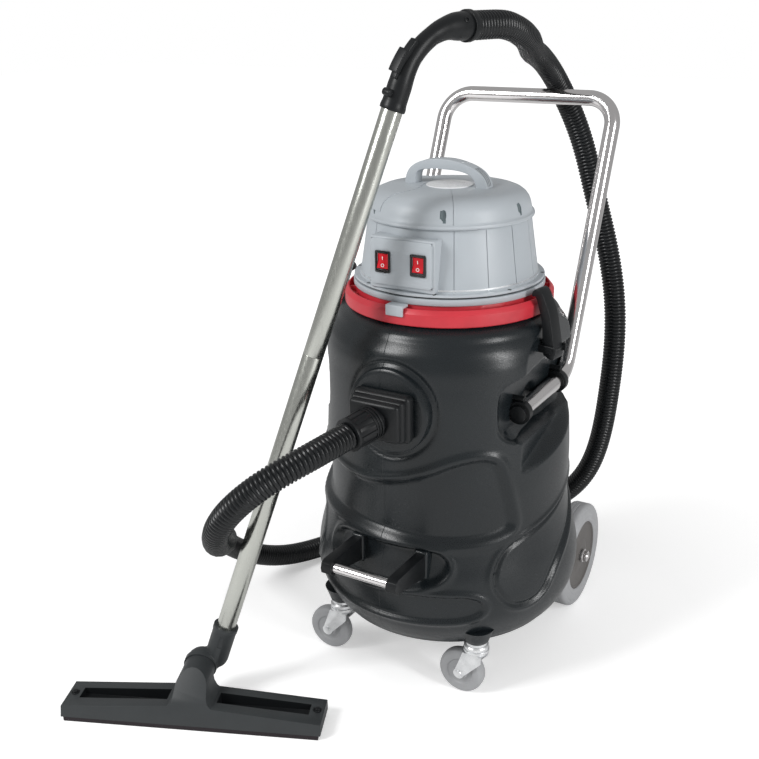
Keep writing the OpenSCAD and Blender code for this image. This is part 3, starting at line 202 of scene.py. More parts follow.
ZINC = finish("zinc", (0.84, 0.85, 0.86), 0.34, 0.85, mottle=0.10, patch=60, grain=500, depth=0.05,
              rough_spread=0.08)
AXLE = finish("axle_steel", (0.45, 0.46, 0.47), 0.30, 1.0, mottle=0.08, patch=50, grain=700,
              depth=0.05)
TYRE = finish("tyre_rubber", (0.36, 0.365, 0.375), 0.62, mottle=0.07, patch=18, grain=800,
              depth=0.14)
HUB = finish("hub_plastic", (0.105, 0.098, 0.093), 0.45, mottle=0.08, patch=22, depth=0.10)
HOSE = finish("hose_plastic", (0.006, 0.007, 0.008), 0.30, mottle=0.2, patch=14, grain=700,
              depth=0.05, sheen=0.36)
TOOL = finish("tool_plastic", (0.034, 0.038, 0.040), 0.48, mottle=0.08, patch=14, grain=1300,
              depth=0.22, sheen=0.4)
BRISTLE = finish("bristle", (0.012, 0.007, 0.010), 0.75, mottle=0.4, patch=900, grain=2500,
                 depth=0.6, stretch=(1.0, 1.0, 0.08))
GASKET = finish("gasket_rubber", (0.012, 0.012, 0.012), 0.7, mottle=0.1)
CLOTH = finish("filter_cloth", (0.70, 0.70, 0.68), 0.85, mottle=0.06, patch=60, grain=1400,
               depth=0.5)
FOAM = finish("sound_foam", (0.05, 0.05, 0.055), 0.95, mottle=0.2, patch=150, grain=420, depth=0.9)
MOTOR = finish("motor_paint", (0.09, 0.10, 0.11), 0.35, 0.3, mottle=0.08, patch=30)
COPPER = finish("rotor_copper", (0.45, 0.24, 0.10), 0.35, 1.0, mottle=0.15, patch=90)
CREAM = finish("float_plastic", (0.70, 0.67, 0.60), 0.40, mottle=0.05, patch=20)
MARK = finish("mark_white", (0.82, 0.82, 0.80), 0.35, mottle=0.02, patch=90)
FINISH = {
    "tank_black": TANK, "trim_black": BLACK, "head_grey": HEAD, "ring_red": RED,
    "rocker_red": ROCKER, "switch_black": GLOSS, "disc_white": DISC, "chrome_tube": CHROME,
    "wand_steel": STEEL, "zinc": ZINC, "axle_steel": AXLE, "tyre_grey": TYRE, "hub_grey": HUB,
    "caster_grey": TYRE, "hose_black": HOSE, "tool_grey": TOOL, "bristle_black": BRISTLE,
    "gasket_black": GASKET, "filter_white": CLOTH, "foam_grey": FOAM, "motor_metal": MOTOR,
    "rotor_copper": COPPER, "float_cream": CREAM}
for part in frame["record"]["subparts"]:
    node = NODES[part["node"]]
    node.data.materials.clear()
    node.data.materials.append(FINISH[part["material_slot"]])
print("finishes", len(FINISH))

# %% [markdown]
# A few helpers stand for the moves that every piece below needs: start from a ring of points,
# spin it into a turned form, push it into a slab, round its edges, cut it, and hand it over to
# the body that it rides on.

# %% Modelling helpers
SIDES = ((-1, "left"), (1, "right"))
AXLE_Y, AXLE_Z = 206, 100  # the rear axle
INLET_Z = 515  # height of the hose inlet's middle
PANEL_X, PANEL_Z = -6.5, 736  # middle of the switch panel


def start():
    if bpy.context.object and bpy.context.object.mode != "OBJECT":
        bpy.ops.object.mode_set(mode="OBJECT")
    bpy.ops.object.select_all(action="DESELECT")


def pick(o):
    start()
    o.select_set(True)
    bpy.context.view_layer.objects.active = o
    return o


def outline(points, filled):
    """A ring of edges, or one face, through points that are given in millimetres."""
    start()
    bpy.ops.mesh.primitive_circle_add(vertices=len(points), radius=0.01,
                                      fill_type="NGON" if filled else "NOTHING")
    o = bpy.context.object
    for vertex, point in zip(o.data.vertices, points):
        vertex.co = Vector(point) * MM
    return o


def edit_all(o, *steps):
    pick(o)
    bpy.ops.object.mode_set(mode="EDIT")
    bpy.ops.mesh.select_all(action="SELECT")
    for step in steps:
        step()
    bpy.ops.object.mode_set(mode="OBJECT")
    return o


def tidy(o, distance=1e-5):
    return edit_all(o, lambda: bpy.ops.mesh.remove_doubles(threshold=distance),
                    lambda: bpy.ops.mesh.normals_make_consistent(inside=False))


def turned(points, steps=128):
    """A closed profile of radius and height, spun about the Z axis."""
    o = outline([(r, 0.0, z) for r, z in points], filled=False)
    edit_all(o, lambda: bpy.ops.mesh.spin(steps=steps, angle=math.tau, center=(0, 0, 0),
                                          axis=(0, 0, 1)))
    return tidy(o)


def slab(points, height):
    """A face through flat points, pushed up by height."""
    o = outline([(x, y, 0.0) for x, y in points], filled=True)
    edit_all(o, lambda: bpy.ops.mesh.extrude_region_move(
        TRANSFORM_OT_translate={"value": (0, 0, height * MM)}))
    return tidy(o)


def block(size, at=(0, 0, 0)):
    start()
    bpy.ops.mesh.primitive_cube_add(size=1.0)
    o = bpy.context.object
    o.data.transform(Matrix.Translation(Vector(at) * MM)
                     @ Matrix.Diagonal((*[s * MM for s in size], 1.0)))
    return o


def rod(radius, height, at=(0, 0, 0), sides=64, axis="Z"):
    """A cylinder from at along an axis."""
    start()
    bpy.ops.mesh.primitive_cylinder_add(vertices=sides, radius=radius * MM, depth=height * MM)
    o = bpy.context.object
    turn = {"Z": Matrix(), "X": Matrix.Rotation(math.pi / 2, 4, "Y"),
            "Y": Matrix.Rotation(-math.pi / 2, 4, "X")}[axis]
    o.data.transform(Matrix.Translation(Vector(at) * MM) @ turn
                     @ Matrix.Translation((0, 0, height * MM / 2)))
    return o


def moved(o, matrix):
    o.data.transform(matrix)
    if matrix.determinant() < 0:
        o.data.flip_normals()
    return o


def modify(o, kind, **settings):
    pick(o)
    mod = o.modifiers.new(kind.lower(), kind)
    for key, value in settings.items():
        setattr(mod, key, value)
    bpy.ops.object.modifier_apply(modifier=mod.name)
    return o


def eased(o, width, segments=3, angle=30):
    return modify(o, "BEVEL", width=width * MM, segments=segments, limit_method="ANGLE",
                  angle_limit=math.radians(angle), use_clamp_overlap=True, miter_outer="MITER_ARC")


def joined(*objects):
    start()
    for o in objects:
        o.select_set(True)
    bpy.context.view_layer.objects.active = objects[0]
    bpy.ops.object.join()
    return objects[0]


def cut(o, *tools, operation="DIFFERENCE"):
    for tool in tools:
        modify(o, "BOOLEAN", operation=operation, object=tool, solver="EXACT")
        bpy.data.objects.remove(tool)
    return o


def piece(o, name, body, slot, mat=None, smooth=35, replaces=()):
    """Names a finished piece, gives it its material and smooth shading, and lets it ride."""
    pick(o)
    o.name = name
    o.data.name = name
    o.data.materials.clear()
    o.data.materials.append(mat or FINISH[slot])
    bpy.ops.object.shade_smooth_by_angle(angle=math.radians(smooth))
    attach(o, body)
    if replaces:
        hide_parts(*replaces)
    print(name, len(o.data.polygons), "faces")
    return o


def second_finish(o, mat, inside):
    """Gives mat to the faces whose centres, in millimetres, pass the test."""
    o.data.materials.append(mat)
    for face in o.data.polygons:
        if inside(face.center / MM):
            face.material_index = len(o.data.materials) - 1
    return o


def cad_copy(name):
    """A merged copy of a CAD node, with its flat faces in one piece, ready for soft edges."""
    start()
    o = bpy.data.objects.new(name + "_copy", NODES[name].data.copy())
    bpy.context.scene.collection.objects.link(o)
    tidy(o, 2e-5)
    edit_all(o, lambda: bpy.ops.mesh.dissolve_limited(angle_limit=math.radians(1.0)))
    return o


def frame_at(origin, z_axis, x_hint):
    """A matrix whose Z lies along z_axis and whose X lies near x_hint; origin in millimetres."""
    z = Vector(z_axis).normalized()
    x = Vector(x_hint) - Vector(x_hint).dot(z) * z
    x.normalize()
    y = z.cross(x)
    matrix = Matrix((x, y, z)).transposed().to_4x4()
    return Matrix.Translation(Vector(origin) * MM) @ matrix


def arc(cx, cy, r, a0, a1, n):
    return [(cx + r * math.cos(math.radians(a0 + (a1 - a0) * i / n)),
             cy + r * math.sin(math.radians(a0 + (a1 - a0) * i / n))) for i in range(n + 1)]


print("helpers ready")

# %% [markdown]
# The hose is a real length of ribbed pipe. It leaves the cuff on the tank, falls to the floor,
# runs round behind the machine and climbs to the curved grip. Its route is one smooth curve drawn
# by control points, the same that the solid has, and its wall is a tube whose rings swell and
# shrink in turn, which is how the wound ribs look.

# %% Hose
HOSE_R = 21.0
RIB_DEPTH = 2.4
HOSE_START = Vector((-13.65, -303.57, 508.04))
HOSE_END = Vector((60.18, -54.86, 1075.1))
INLET_DIR = Vector((-0.272955, -0.951907, -0.139173))
GRIP_DIR = Vector((0.275637, 0.961262, 0.0))
LEAD = 42.0
ROUTE = [
    (-80, -440, 470), (-145, -460, 405), (-190, -420, 330), (-230, -340, 290), (-285, -285, 260),
    (-335, -230, 225), (-380, -175, 175), (-410, -120, 120), (-405, -50, 65), (-380, 25, 30),
    (-345, 105, 22), (-310, 190, 22), (-265, 275, 22), (-200, 345, 22), (-120, 395, 25),
    (-25, 420, 45), (60, 425, 90), (120, 425, 165), (145, 420, 260), (155, 415, 355),
    (160, 420, 460), (150, 430, 560), (125, 435, 660), (95, 430, 755), (70, 420, 860),
    (35, 375, 960), (30, 290, 1015), (50, 195, 1025), (85, 110, 1050)]
ROUTE = [HOSE_START + k * LEAD * INLET_DIR for k in (-1, 0, 1, 2)] + [Vector(p) for p in ROUTE] \
    + [HOSE_END + k * LEAD * GRIP_DIR for k in (2, 1, 0, -1)]


def route_line(points, steps):
    """Points on the uniform cubic B-spline of these control points."""
    line = []
    for span in range(len(points) - 3):
        p = points[span:span + 4]
        for k in range(steps + (span == len(points) - 4)):
            t = k / steps
            line.append(((1 - t) ** 3 * p[0] + (3 * t ** 3 - 6 * t ** 2 + 4) * p[1]
                         + (1 + 3 * t + 3 * t ** 2 - 3 * t ** 3) * p[2] + t ** 3 * p[3]) / 6)
    return np.array([list(q) for q in line])


def evenly(line, count):
    """The same line through count + 1 points at equal distances."""
    marks = np.concatenate([[0], np.cumsum(np.linalg.norm(np.diff(line, axis=0), axis=1))])
    where = np.linspace(0, marks[-1], count + 1)
    return np.stack([np.interp(where, marks, line[:, k]) for k in range(3)], 1), marks[-1]


def ribbed_tube(name, line, radii, bore, sides):
    """A tube whose rings follow the line and have these radii, with a plain bore inside."""
    ways = np.gradient(line, axis=0)
    ways /= np.linalg.norm(ways, axis=1)[:, None]
    across = np.cross(ways[0], (0, 0, 1.0))
    rows = []
    for point, way, radius in zip(line, ways, radii):
        across = across - (across @ way) * way
        across /= np.linalg.norm(across)
        up = np.cross(way, across)
        a = np.arange(sides) * math.tau / sides
        rows.append(point + radius * (np.cos(a)[:, None] * across + np.sin(a)[:, None] * up))
    first, last = rows[0], rows[-1]
    inner = [line[0] + (first - line[0]) * bore / radii[0],
             line[-1] + (last - line[-1]) * bore / radii[-1]]
    vertices = np.concatenate(rows + inner) * MM
    n = len(rows)
    quads = [(k * sides + j, (k + 1) * sides + j, (k + 1) * sides + (j + 1) % sides,
              k * sides + (j + 1) % sides) for k in range(n - 1) for j in range(sides)]
    for ring, flip in ((0, n), (n - 1, n + 1)):
        quads += [(ring * sides + j, flip * sides + j, flip * sides + (j + 1) % sides,
                   ring * sides + (j + 1) % sides) for j in range(sides)]
    quads += [tuple(range(n * sides, (n + 1) * sides)),
              tuple(range((n + 1) * sides, (n + 2) * sides))]
    mesh = bpy.data.meshes.new(name)
    mesh.from_pydata([tuple(v) for v in vertices], [], quads)
    mesh.update()
    o = bpy.data.objects.new(name, mesh)
    bpy.context.scene.collection.objects.link(o)
    return edit_all(o, lambda: bpy.ops.mesh.normals_make_consistent(inside=False))


RIBS = 450
RINGS = 3
route = route_line(ROUTE, 24)
rings, hose_length = evenly(route, RIBS * RINGS)
swell = [HOSE_R - RIB_DEPTH if k % RINGS == 0 else HOSE_R for k in range(RIBS * RINGS + 1)]
hose = ribbed_tube("hose_skin", rings, swell, 16.6, 18)
piece(hose, "hose_skin", "machine", "hose_black", smooth=60, replaces=("hose",))
print("hose", round(hose_length), "mm,", RIBS, "ribs")

# %% [markdown]
# The tank is one rotationally moulded barrel. Its mould has soft reliefs: a swollen belly, a
# recess round the front grip, a long slot near the floor, a wide wavy panel, loops over the
# wheels and pockets for the handle. A lathe can't give those, and booleans would leave hard
# edges, so the skin starts as a grid that is rolled round the axis, and each relief pushes it in
# or out by its distance from a drawn outline.

# %% Tank outline and reliefs
SIDE = [(160, 90), (184, 96), (202, 110), (218, 132), (228, 156), (232, 182), (232, 202),
        (227.5, 230), (220, 260), (214, 290), (211, 325), (210, 390), (206.5, 462), (205, 552),
        (202.5, 590), (197, 609), (191, 618), (186.5, 624), (184, 629), (180, 634), (172, 639),
        (165.5, 643.5), (162, 647), (162, 652)]


def side_radius(z):
    """The barrel's radius at a height, through the outline's points without corners."""
    heights = np.array([p[1] for p in SIDE], float)
    radii = np.array([p[0] for p in SIDE], float)
    slope = np.gradient(radii, heights)
    k = np.clip(np.searchsorted(heights, z, side="right") - 1, 0, len(heights) - 2)
    step = heights[k + 1] - heights[k]
    t = np.clip((z - heights[k]) / step, 0, 1)
    return ((2 * t ** 3 - 3 * t ** 2 + 1) * radii[k] + (t ** 3 - 2 * t ** 2 + t) * step * slope[k]
            + (3 * t ** 2 - 2 * t ** 3) * radii[k + 1] + (t ** 3 - t ** 2) * step * slope[k + 1])


def rounded_loop(points, turns=3):
    """Cuts the corners of a closed outline until it is a smooth loop."""
    p = np.array(points, float)
    for _ in range(turns):
        after = np.roll(p, -1, axis=0)
        p = np.stack([0.75 * p + 0.25 * after, 0.25 * p + 0.75 * after], 1).reshape(-1, 2)
    return p


ARC_MM = 205 * math.pi / 180  # millimetres along the skin for each degree


def inside_by(u, z, loop):
    """Distance to a loop on the unrolled skin: below nought inside, above it outside."""
    loop = rounded_loop([(a * ARC_MM, h) for a, h in loop])
    nearest = np.full(u.shape, 1e9)
    inside = np.zeros(u.shape, bool)
    for (x0, y0), (x1, y1) in zip(loop, np.roll(loop, -1, axis=0)):
        dx, dy = x1 - x0, y1 - y0
        t = np.clip(((u - x0) * dx + (z - y0) * dy) / (dx * dx + dy * dy + 1e-9), 0, 1)
        nearest = np.minimum(nearest, np.hypot(u - x0 - t * dx, z - y0 - t * dy))
        crosses = (y0 > z) != (y1 > z)
        with np.errstate(divide="ignore", invalid="ignore"):
            inside ^= crosses & (u < dx * (z - y0) / (dy if dy else 1e-9) + x0)
    return np.where(inside, -nearest, nearest)


def ease(x):
    x = np.clip(x, 0, 1)
    return x * x * (3 - 2 * x)


GRIP_LOOP = [(-122, 262), (-117, 283), (-95, 285), (-70, 288), (-62, 270), (-63, 246), (-70, 226),
             (-92, 216), (-112, 214), (-121, 232)]
SLOT_LOOP = [(-126, 172), (-122, 196), (-108, 205), (-90, 208), (-70, 210), (-52, 209),
             (-47, 188), (-52, 166), (-70, 161), (-90, 160), (-112, 161)]
PANEL_LOOP = [(-150, 402), (-118, 390), (-104, 388), (-86, 398), (-72, 416), (-60, 436),
              (-48, 442), (-40, 432), (-37, 395), (-34, 350), (-32, 318), (-36, 304), (-50, 296),
              (-68, 295), (-92, 301), (-118, 302), (-150, 300), (-172, 320), (-172, 390)]
WHEEL_LOOP = [(-39, 278), (-28, 292), (-12, 306), (6, 326), (30, 352), (44, 330), (30, 300),
              (8, 262), (-6, 238), (-15, 210), (-20, 184), (-28, 174), (-36, 180), (-42, 204),
              (-45, 236)]
POCKET_LOOP = [(-27, 566), (-34, 558), (-40, 550), (-42, 530), (-42, 500), (-41, 480), (-37, 464),
               (-29, 457), (0, 457), (40, 457), (56, 470), (56, 560), (40, 572), (0, 572)]


def pressed(r, d, depth, edge, run, lip, lip_at, lip_width):
    """Sinks the skin inside a loop, over a run, and swells a lip round it."""
    return r - depth * ease((edge - d) / run) + lip * np.exp(-((d - lip_at) / lip_width) ** 2)


# depth, edge and run of each dip; height, place and width of its lip
PANEL_RELIEF = (7.5, 2, 13, 3.2, 6, 6.5)
GRIP_RELIEF = (9.0, 2, 9, 3.4, 5, 4.5)
SLOT_RELIEF = (5.5, 1.5, 6, 3.0, 5, 4)
FLAT_AT, POCKET_AT, WELL_AT = 180.5, 149.3, 142.3  # upright planes that the side is cut back to
WELL_R, WELL_SOFT = 112.0, 5.0


def tank_radius(turn, z, walled):
    """The skin's radius in millimetres at an angle in degrees and a height."""
    r = side_radius(z)
    u = turn * ARC_MM
    # wavy front panel, recess round the front grip and long slot near the floor
    r = pressed(r, inside_by(u, z, PANEL_LOOP), *PANEL_RELIEF)
    r = pressed(r, inside_by(u, z, GRIP_LOOP), *GRIP_RELIEF)
    r = pressed(r, inside_by(u, z, SLOT_LOOP), *SLOT_RELIEF)
    # ring-shaped dip round the inlet's boss
    d = np.hypot(u + 90 * ARC_MM, z - INLET_Z) - 77
    r = r - 3.4 * np.exp(-(d / 4.2) ** 2)
    # loops over the wheels, the same on both sides
    m = np.where(np.cos(np.radians(turn)) >= 0, turn, np.where(turn > 0, 180 - turn, -180 - turn))
    d = inside_by(m * ARC_MM, z, WHEEL_LOOP)
    r = r + 2.4 * np.exp(-((d - 6) / 4.0) ** 2) - 4.6 * np.exp(-((d + 2) / 3.8) ** 2) \
        - 2.0 * ease(-d / 14)
    # flat side: the recess behind the front edge, then the deeper pocket
    side = np.abs(np.cos(np.radians(turn))) + 1e-6
    shelf = 409 + 0.83 * (m + 28)
    flat = np.maximum(r - FLAT_AT / side, 0) * ease((z - shelf) / 15 + 0.5) * ease((644 - z) / 8)
    r = r - flat * ease((m + 31) / 2.2) * ease((36 - m) / 4)
    d = inside_by(m * ARC_MM, z, POCKET_LOOP)
    pocket = np.maximum(r - POCKET_AT / side, 0) * ease((3.0 - d) / 9)
    r = r - pocket
    dent = 1 - ease((np.hypot((m + 1) * 2.75, z - 487) - 16) / 20)
    r = r - 11.0 * dent * (pocket > 5)
    # wells for the rear wheels
    sine = np.sin(np.radians(turn))
    reach = np.sqrt(np.maximum(WELL_R ** 2 - (z - AXLE_Z) ** 2, 0))
    with np.errstate(divide="ignore", invalid="ignore"):
        enters = np.maximum(WELL_AT / side, (AXLE_Y - reach) / np.maximum(sine, 1e-3))
    well = np.where((sine > 0.05) & (reach > 0), enters, 1e3)
    blend = np.clip(0.5 + 0.5 * (well - r) / WELL_SOFT, 0, 1)
    r = well * (1 - blend) + r * blend - WELL_SOFT * blend * (1 - blend)
    return np.maximum(r - walled, 60.0)


def rolled_grid(columns, heights, walled):
    """A grid that is rolled round the axis into the tank's skin."""
    start()
    bpy.ops.mesh.primitive_grid_add(x_subdivisions=columns, y_subdivisions=len(heights) - 1,
                                    size=2)
    o = bpy.context.object
    co = np.empty(len(o.data.vertices) * 3)
    o.data.vertices.foreach_get("co", co)
    co = co.reshape(-1, 3)
    turn = (co[:, 0] + 1) * 180 - 180
    row = np.rint((co[:, 1] + 1) / 2 * (len(heights) - 1)).astype(int)
    z = heights[row]
    r = tank_radius(turn, z, walled)
    rolled = np.stack([r * np.cos(np.radians(turn)), r * np.sin(np.radians(turn)), z], 1) * MM
    o.data.vertices.foreach_set("co", rolled.ravel())
    o.data.update()
    return tidy(o)


def fill_ring(o, height):
    """Closes the open edges of a shell at a height with one face."""
    pick(o)
    bpy.ops.object.mode_set(mode="EDIT")
    bpy.ops.mesh.select_mode(type="EDGE")
    bpy.ops.mesh.select_all(action="DESELECT")
    bpy.ops.object.mode_set(mode="OBJECT")
    owners = {}
    for face in o.data.polygons:
        for key in face.edge_keys:
            owners[key] = owners.get(key, 0) + 1
    for edge in o.data.edges:
        a, b = (o.data.vertices[k].co for k in edge.vertices)
        if owners.get(edge.key, 0) == 1 \
                and abs(a.z - height * MM) < 1e-4 and abs(b.z - height * MM) < 1e-4:
            edge.select = True
    bpy.ops.object.mode_set(mode="EDIT")
    bpy.ops.mesh.edge_face_add()
    bpy.ops.object.mode_set(mode="OBJECT")
    return o


print("tank outline", len(SIDE), "points")

# %% Tank skin
FLOOR, RIM = 90, 652
WALL = 5.0
RIM_MIDDLE = 159.5  # a radius between the skin's rim and the liner's
COLUMNS = 360
outer_rows = np.concatenate([np.linspace(FLOOR, 110, 12)[:-1], np.linspace(110, 600, 172)[:-1],
                             np.linspace(600, RIM, 28)])
inner_rows = np.concatenate([np.linspace(FLOOR + WALL, 640, 40), [RIM]])
skin = fill_ring(rolled_grid(COLUMNS, outer_rows, 0.0), FLOOR)
liner = fill_ring(rolled_grid(COLUMNS, inner_rows, WALL), FLOOR + WALL)
shell = joined(skin, liner)
bm = bmesh.new()
bm.from_mesh(shell.data)
rim = sorted((v for v in bm.verts if abs(v.co.z - RIM * MM) < 1e-5),
             key=lambda v: math.atan2(v.co.y, v.co.x))
outside = [v for v in rim if v.co.xy.length > RIM_MIDDLE * MM]
inside = [v for v in rim if v.co.xy.length < RIM_MIDDLE * MM]
for k in range(len(outside)):
    bm.faces.new((outside[k - 1], outside[k], inside[k], inside[k - 1]))
bm.to_mesh(shell.data)
bm.free()
tidy(shell)
piece(shell, "tank_skin", "machine", "tank_black", smooth=60, replaces=("tank",))
print("tank rim", len(outside), "box", [round(c * 1000) for c in shell.dimensions])

# %% [markdown]
# Plain details stand on the barrel: the feet above the casters, with bright swivel heads under
# them, the lugs that hold the axle, the pads behind the grip arms, and the round boss of the hose
# inlet. They are simple turned or square forms, and those on the skin are sunk a little into it.

# %% Feet, lugs, pads and boss
CASTERS = [Matrix.Translation((x, -0.151, 0)) for x in (-0.132, 0.132)]
FOOT = [(7.5, 107), (19, 107), (21, 109), (24, 118), (30, 134), (7.5, 134)]
SWIVEL_HEAD = [(7.5, 93.2), (20, 93.2), (21, 94.2), (21, 99), (19.5, 101), (18, 102),
               (18, 107.5), (7.5, 107.5)]
for name, side_line, slot in (("caster_feet", FOOT, "tank_black"),
                              ("caster_heads", SWIVEL_HEAD, "zinc")):
    piece(joined(*[moved(turned(side_line, 48), place) for place in CASTERS]), name, "machine",
          slot)
lugs = [eased(block((24, 82, 36), (side * 124, 181, 101)), 3) for side in (-1, 1)]
lugs = joined(*lugs)
cut(lugs, rod(10.1, 400, (-200, AXLE_Y, AXLE_Z), axis="X"))
piece(lugs, "axle_lugs", "machine", "tank_black")
pads = [eased(block((24, 30, 50), (side * 59, -199, 261)), 4) for side in (-1, 1)]
piece(joined(*pads), "grip_pads", "machine", "tank_black")
boss = turned([(0, 30), (70, 30), (70, 5.5), (69, 2.2), (66.5, 0.5), (62, 0), (0, 0)], 128)
moved(boss, frame_at((0, -212.8, INLET_Z), (0, 1, 0), (1, 0, 0)))
piece(boss, "inlet_boss", "machine", "tank_black")

# %% [markdown]
# The hose inlet is a moulded block in three steps with soft edges. The fluted cuff turns in it,
# and a small red button on the cuff's outer side frees it.

# %% Inlet block
steps = [eased(block((100, 21, 76), (0, -223.3, INLET_Z)), 7, 4),
         eased(block((92, 33, 68), (0, -229.3, INLET_Z)), 6, 4),
         eased(block((86, 43, 62), (0, -234.4, INLET_Z)), 6, 4)]
inlet = steps[0]
cut(inlet, steps[1], steps[2], operation="UNION")
bore = rod(27.3, 60)
moved(bore, frame_at(Vector((0, -256, INLET_Z)) + 0.2 * INLET_DIR, INLET_DIR, (1, 0, 0)))
cut(inlet, bore)
piece(inlet, "inlet_block_skin", "machine", "trim_black", replaces=("inlet_block",))

# %% [markdown]
# The head is grey moulded plastic. Its dome, its tapered housing and the flange below them are
# turned forms. Their profiles are finer than those of the plain solids: a rolled lip between dome
# and housing, a small flare at the foot, and a groove between the two discs of the flange.

# %% Dome
DOME = [(130, 787), (136, 787.2), (137, 789.5), (136, 792.5), (133.5, 794), (132, 797),
        (131, 803), (129.5, 809), (127, 815), (122.5, 821), (116, 826), (108, 829.2), (98, 830.8),
        (80, 831.6), (60, 832), (0, 832), (0, 828.5), (60, 828.5), (98, 827), (112, 823.5),
        (121, 815), (125.5, 803), (127, 795)]
FIRST_NOTCH = -7.7  # degrees about the dome
NOTCH_SIZE = Vector((3.7, 4.6, 9.5)) * MM
DOME_SEAM_TURN, DOME_SEAM = -60.9, 0.9
dome = turned(DOME, 180)
notch_places = []
for k in range(6):
    start()
    bpy.ops.mesh.primitive_uv_sphere_add(segments=32, ring_count=24, radius=1.0)
    notch = bpy.context.object
    place = Matrix.Rotation(math.radians(FIRST_NOTCH + 60 * k), 4, "Z") \
        @ Matrix.Translation((0.1302, 0, 0.809)) @ Matrix.Rotation(math.radians(-14), 4, "Y") \
        @ Matrix.Diagonal((*NOTCH_SIZE, 1.0))
    moved(notch, place)
    cut(dome, notch)
    notch_places.append(place.inverted())
seam = slab([(r + 2, z + 1) for r, z in DOME[4:16]]
            + [(r - 0.9, z - 0.5) for r, z in DOME[15:3:-1]], DOME_SEAM)
moved(seam, Matrix.Rotation(math.radians(DOME_SEAM_TURN), 4, "Z")
      @ Matrix.Rotation(math.pi / 2, 4, "X"))
cut(dome, seam)
piece(dome, "dome_skin", "head", "head_grey", smooth=40, replaces=("dome_cover",))
# Faces in the notches take the darker grey: painted shade in the recesses.
second_finish(dome, NOTCH_SHADE, lambda p: any((q @ (p * MM)).length < 1.01 for q in notch_places))
saddle = turned([(r + 0.9, z + 0.7) for r, z in DOME[6:15]]
                + [(0, 832.7), (0, 829.5), (60, 829.5), (98, 828), (112, 824), (121, 816),
                   (126, 803)], 180)
keep = slab([(-40, -12), (-30, -52), (-36, -84), (-52, -106), (-80, -130), (-160, -130),
             (-160, 60), (-60, 60), (-40, 12)], 60)
moved(keep, Matrix.Translation((0, 0, 0.79)))
cut(saddle, keep, operation="INTERSECT")
piece(saddle, "dome_saddle", "head", "head_grey", smooth=40)

# %% Motor housing
HOUSING_SIDE = [(147.5, 692), (146, 693), (145, 696), (144.3, 702), (132.4, 782),
                (131, 785.8), (127.5, 785.8), (140.8, 702), (142, 692)]
SEAM = 1.3  # width of a mould seam
SEAM_MIDDLE = 0.742  # height about which the seams lean with the side
SEAM_TURNS = [-122.6, -60.6, -38.9, -17.5, 4, 172]
housing = turned(HOUSING_SIDE, 180)
for turn in SEAM_TURNS:
    seam = block((8, SEAM, 100), (0, 0, 742))
    lean = Matrix.Translation((0.1413, 0, SEAM_MIDDLE)) \
        @ Matrix.Rotation(math.radians(-8.5), 4, "Y") @ Matrix.Translation((0, 0, -SEAM_MIDDLE))
    moved(seam, Matrix.Rotation(math.radians(turn), 4, "Z") @ lean)
    cut(housing, seam)
window = eased(block((99, 60, 64), (PANEL_X, -152, PANEL_Z)), 4)
cut(housing, window)
slots = []
for a in range(40, 150, 10):
    slot = block((60, 4, 40))
    slot.data.transform(Matrix.Rotation(math.radians(a), 4, "Z")
                        @ Matrix.Translation((0.142, 0, 0.738)))
    slots.append(slot)
cut(housing, joined(*slots))
cut(housing, rod(9.2, 60, (-60, 100, 710), axis="Y"))
piece(housing, "housing_skin", "head", "head_grey", HOUSING, smooth=40,
      replaces=("motor_housing",))

# %% Base flange
FLANGE = [(30, 682), (88, 682), (88, 672), (91.7, 672), (91.7, 682), (146, 682), (146, 674),
          (149.7, 674), (149.7, 682), (154.4, 682), (154.4, 675), (156.6, 675), (157.4, 676),
          (157.4, 684), (156.4, 685), (150.5, 685), (150.5, 687.6), (155.4, 687.6),
          (156.2, 688.4), (156.2, 691), (155.2, 692), (30, 692)]
flange = turned(FLANGE, 180)
SCREW_R = 152.3
SCREW_TURNS = [20, 64, 108, 152, 196, 240, 288, 334]
for a in map(math.radians, SCREW_TURNS):
    notch = rod(3.4, 6, (SCREW_R * math.cos(a), SCREW_R * math.sin(a), 689.0), sides=24)
    cut(flange, notch)
piece(flange, "flange_skin", "head", "head_grey", smooth=40, replaces=("base_flange",))
# A thin black ring at the back of the flange's groove: painted shade in the groove.
shadow_gap = turned([(150.2, 684.8), (151.4, 684.8), (151.4, 687.8), (150.2, 687.8)], 128)
piece(shadow_gap, "flange_groove_shade", "head", "trim_black", smooth=60)
screws = [rod(3.0, 3.2, (SCREW_R * math.cos(a), SCREW_R * math.sin(a), 689.0), sides=24)
          for a in map(math.radians, SCREW_TURNS)]
piece(joined(*screws), "head_screws_skin", "head", "trim_black", replaces=("head_screws",))

# %% [markdown]
# The switch panel is a raised block on a wider, lower slab with soft edges, and the two rockers
# shine because such switches are polished.

# %% Switch panel
panel = cad_copy("switch_panel")
eased(panel, 1.8, 3, 40)
piece(panel, "panel_skin", "head", "head_grey", smooth=40, replaces=("switch_panel",))
base = eased(block((112, 30, 82), (PANEL_X, -134.5, 733.4)), 3)
inner = turned([(0, 688), (144.6, 688), (144.6, 702), (132.4, 784), (0, 784)], 128)
cut(base, inner)
cut(base, block((105.6, 60, 70.6), (PANEL_X, -135, PANEL_Z)))
piece(base, "panel_base", "head", "head_grey", smooth=40)
frames = eased(cad_copy("switch_frames"), 0.8, 3, 40)
piece(frames, "frames_skin", "head", "switch_black", smooth=40, replaces=("switch_frames",))

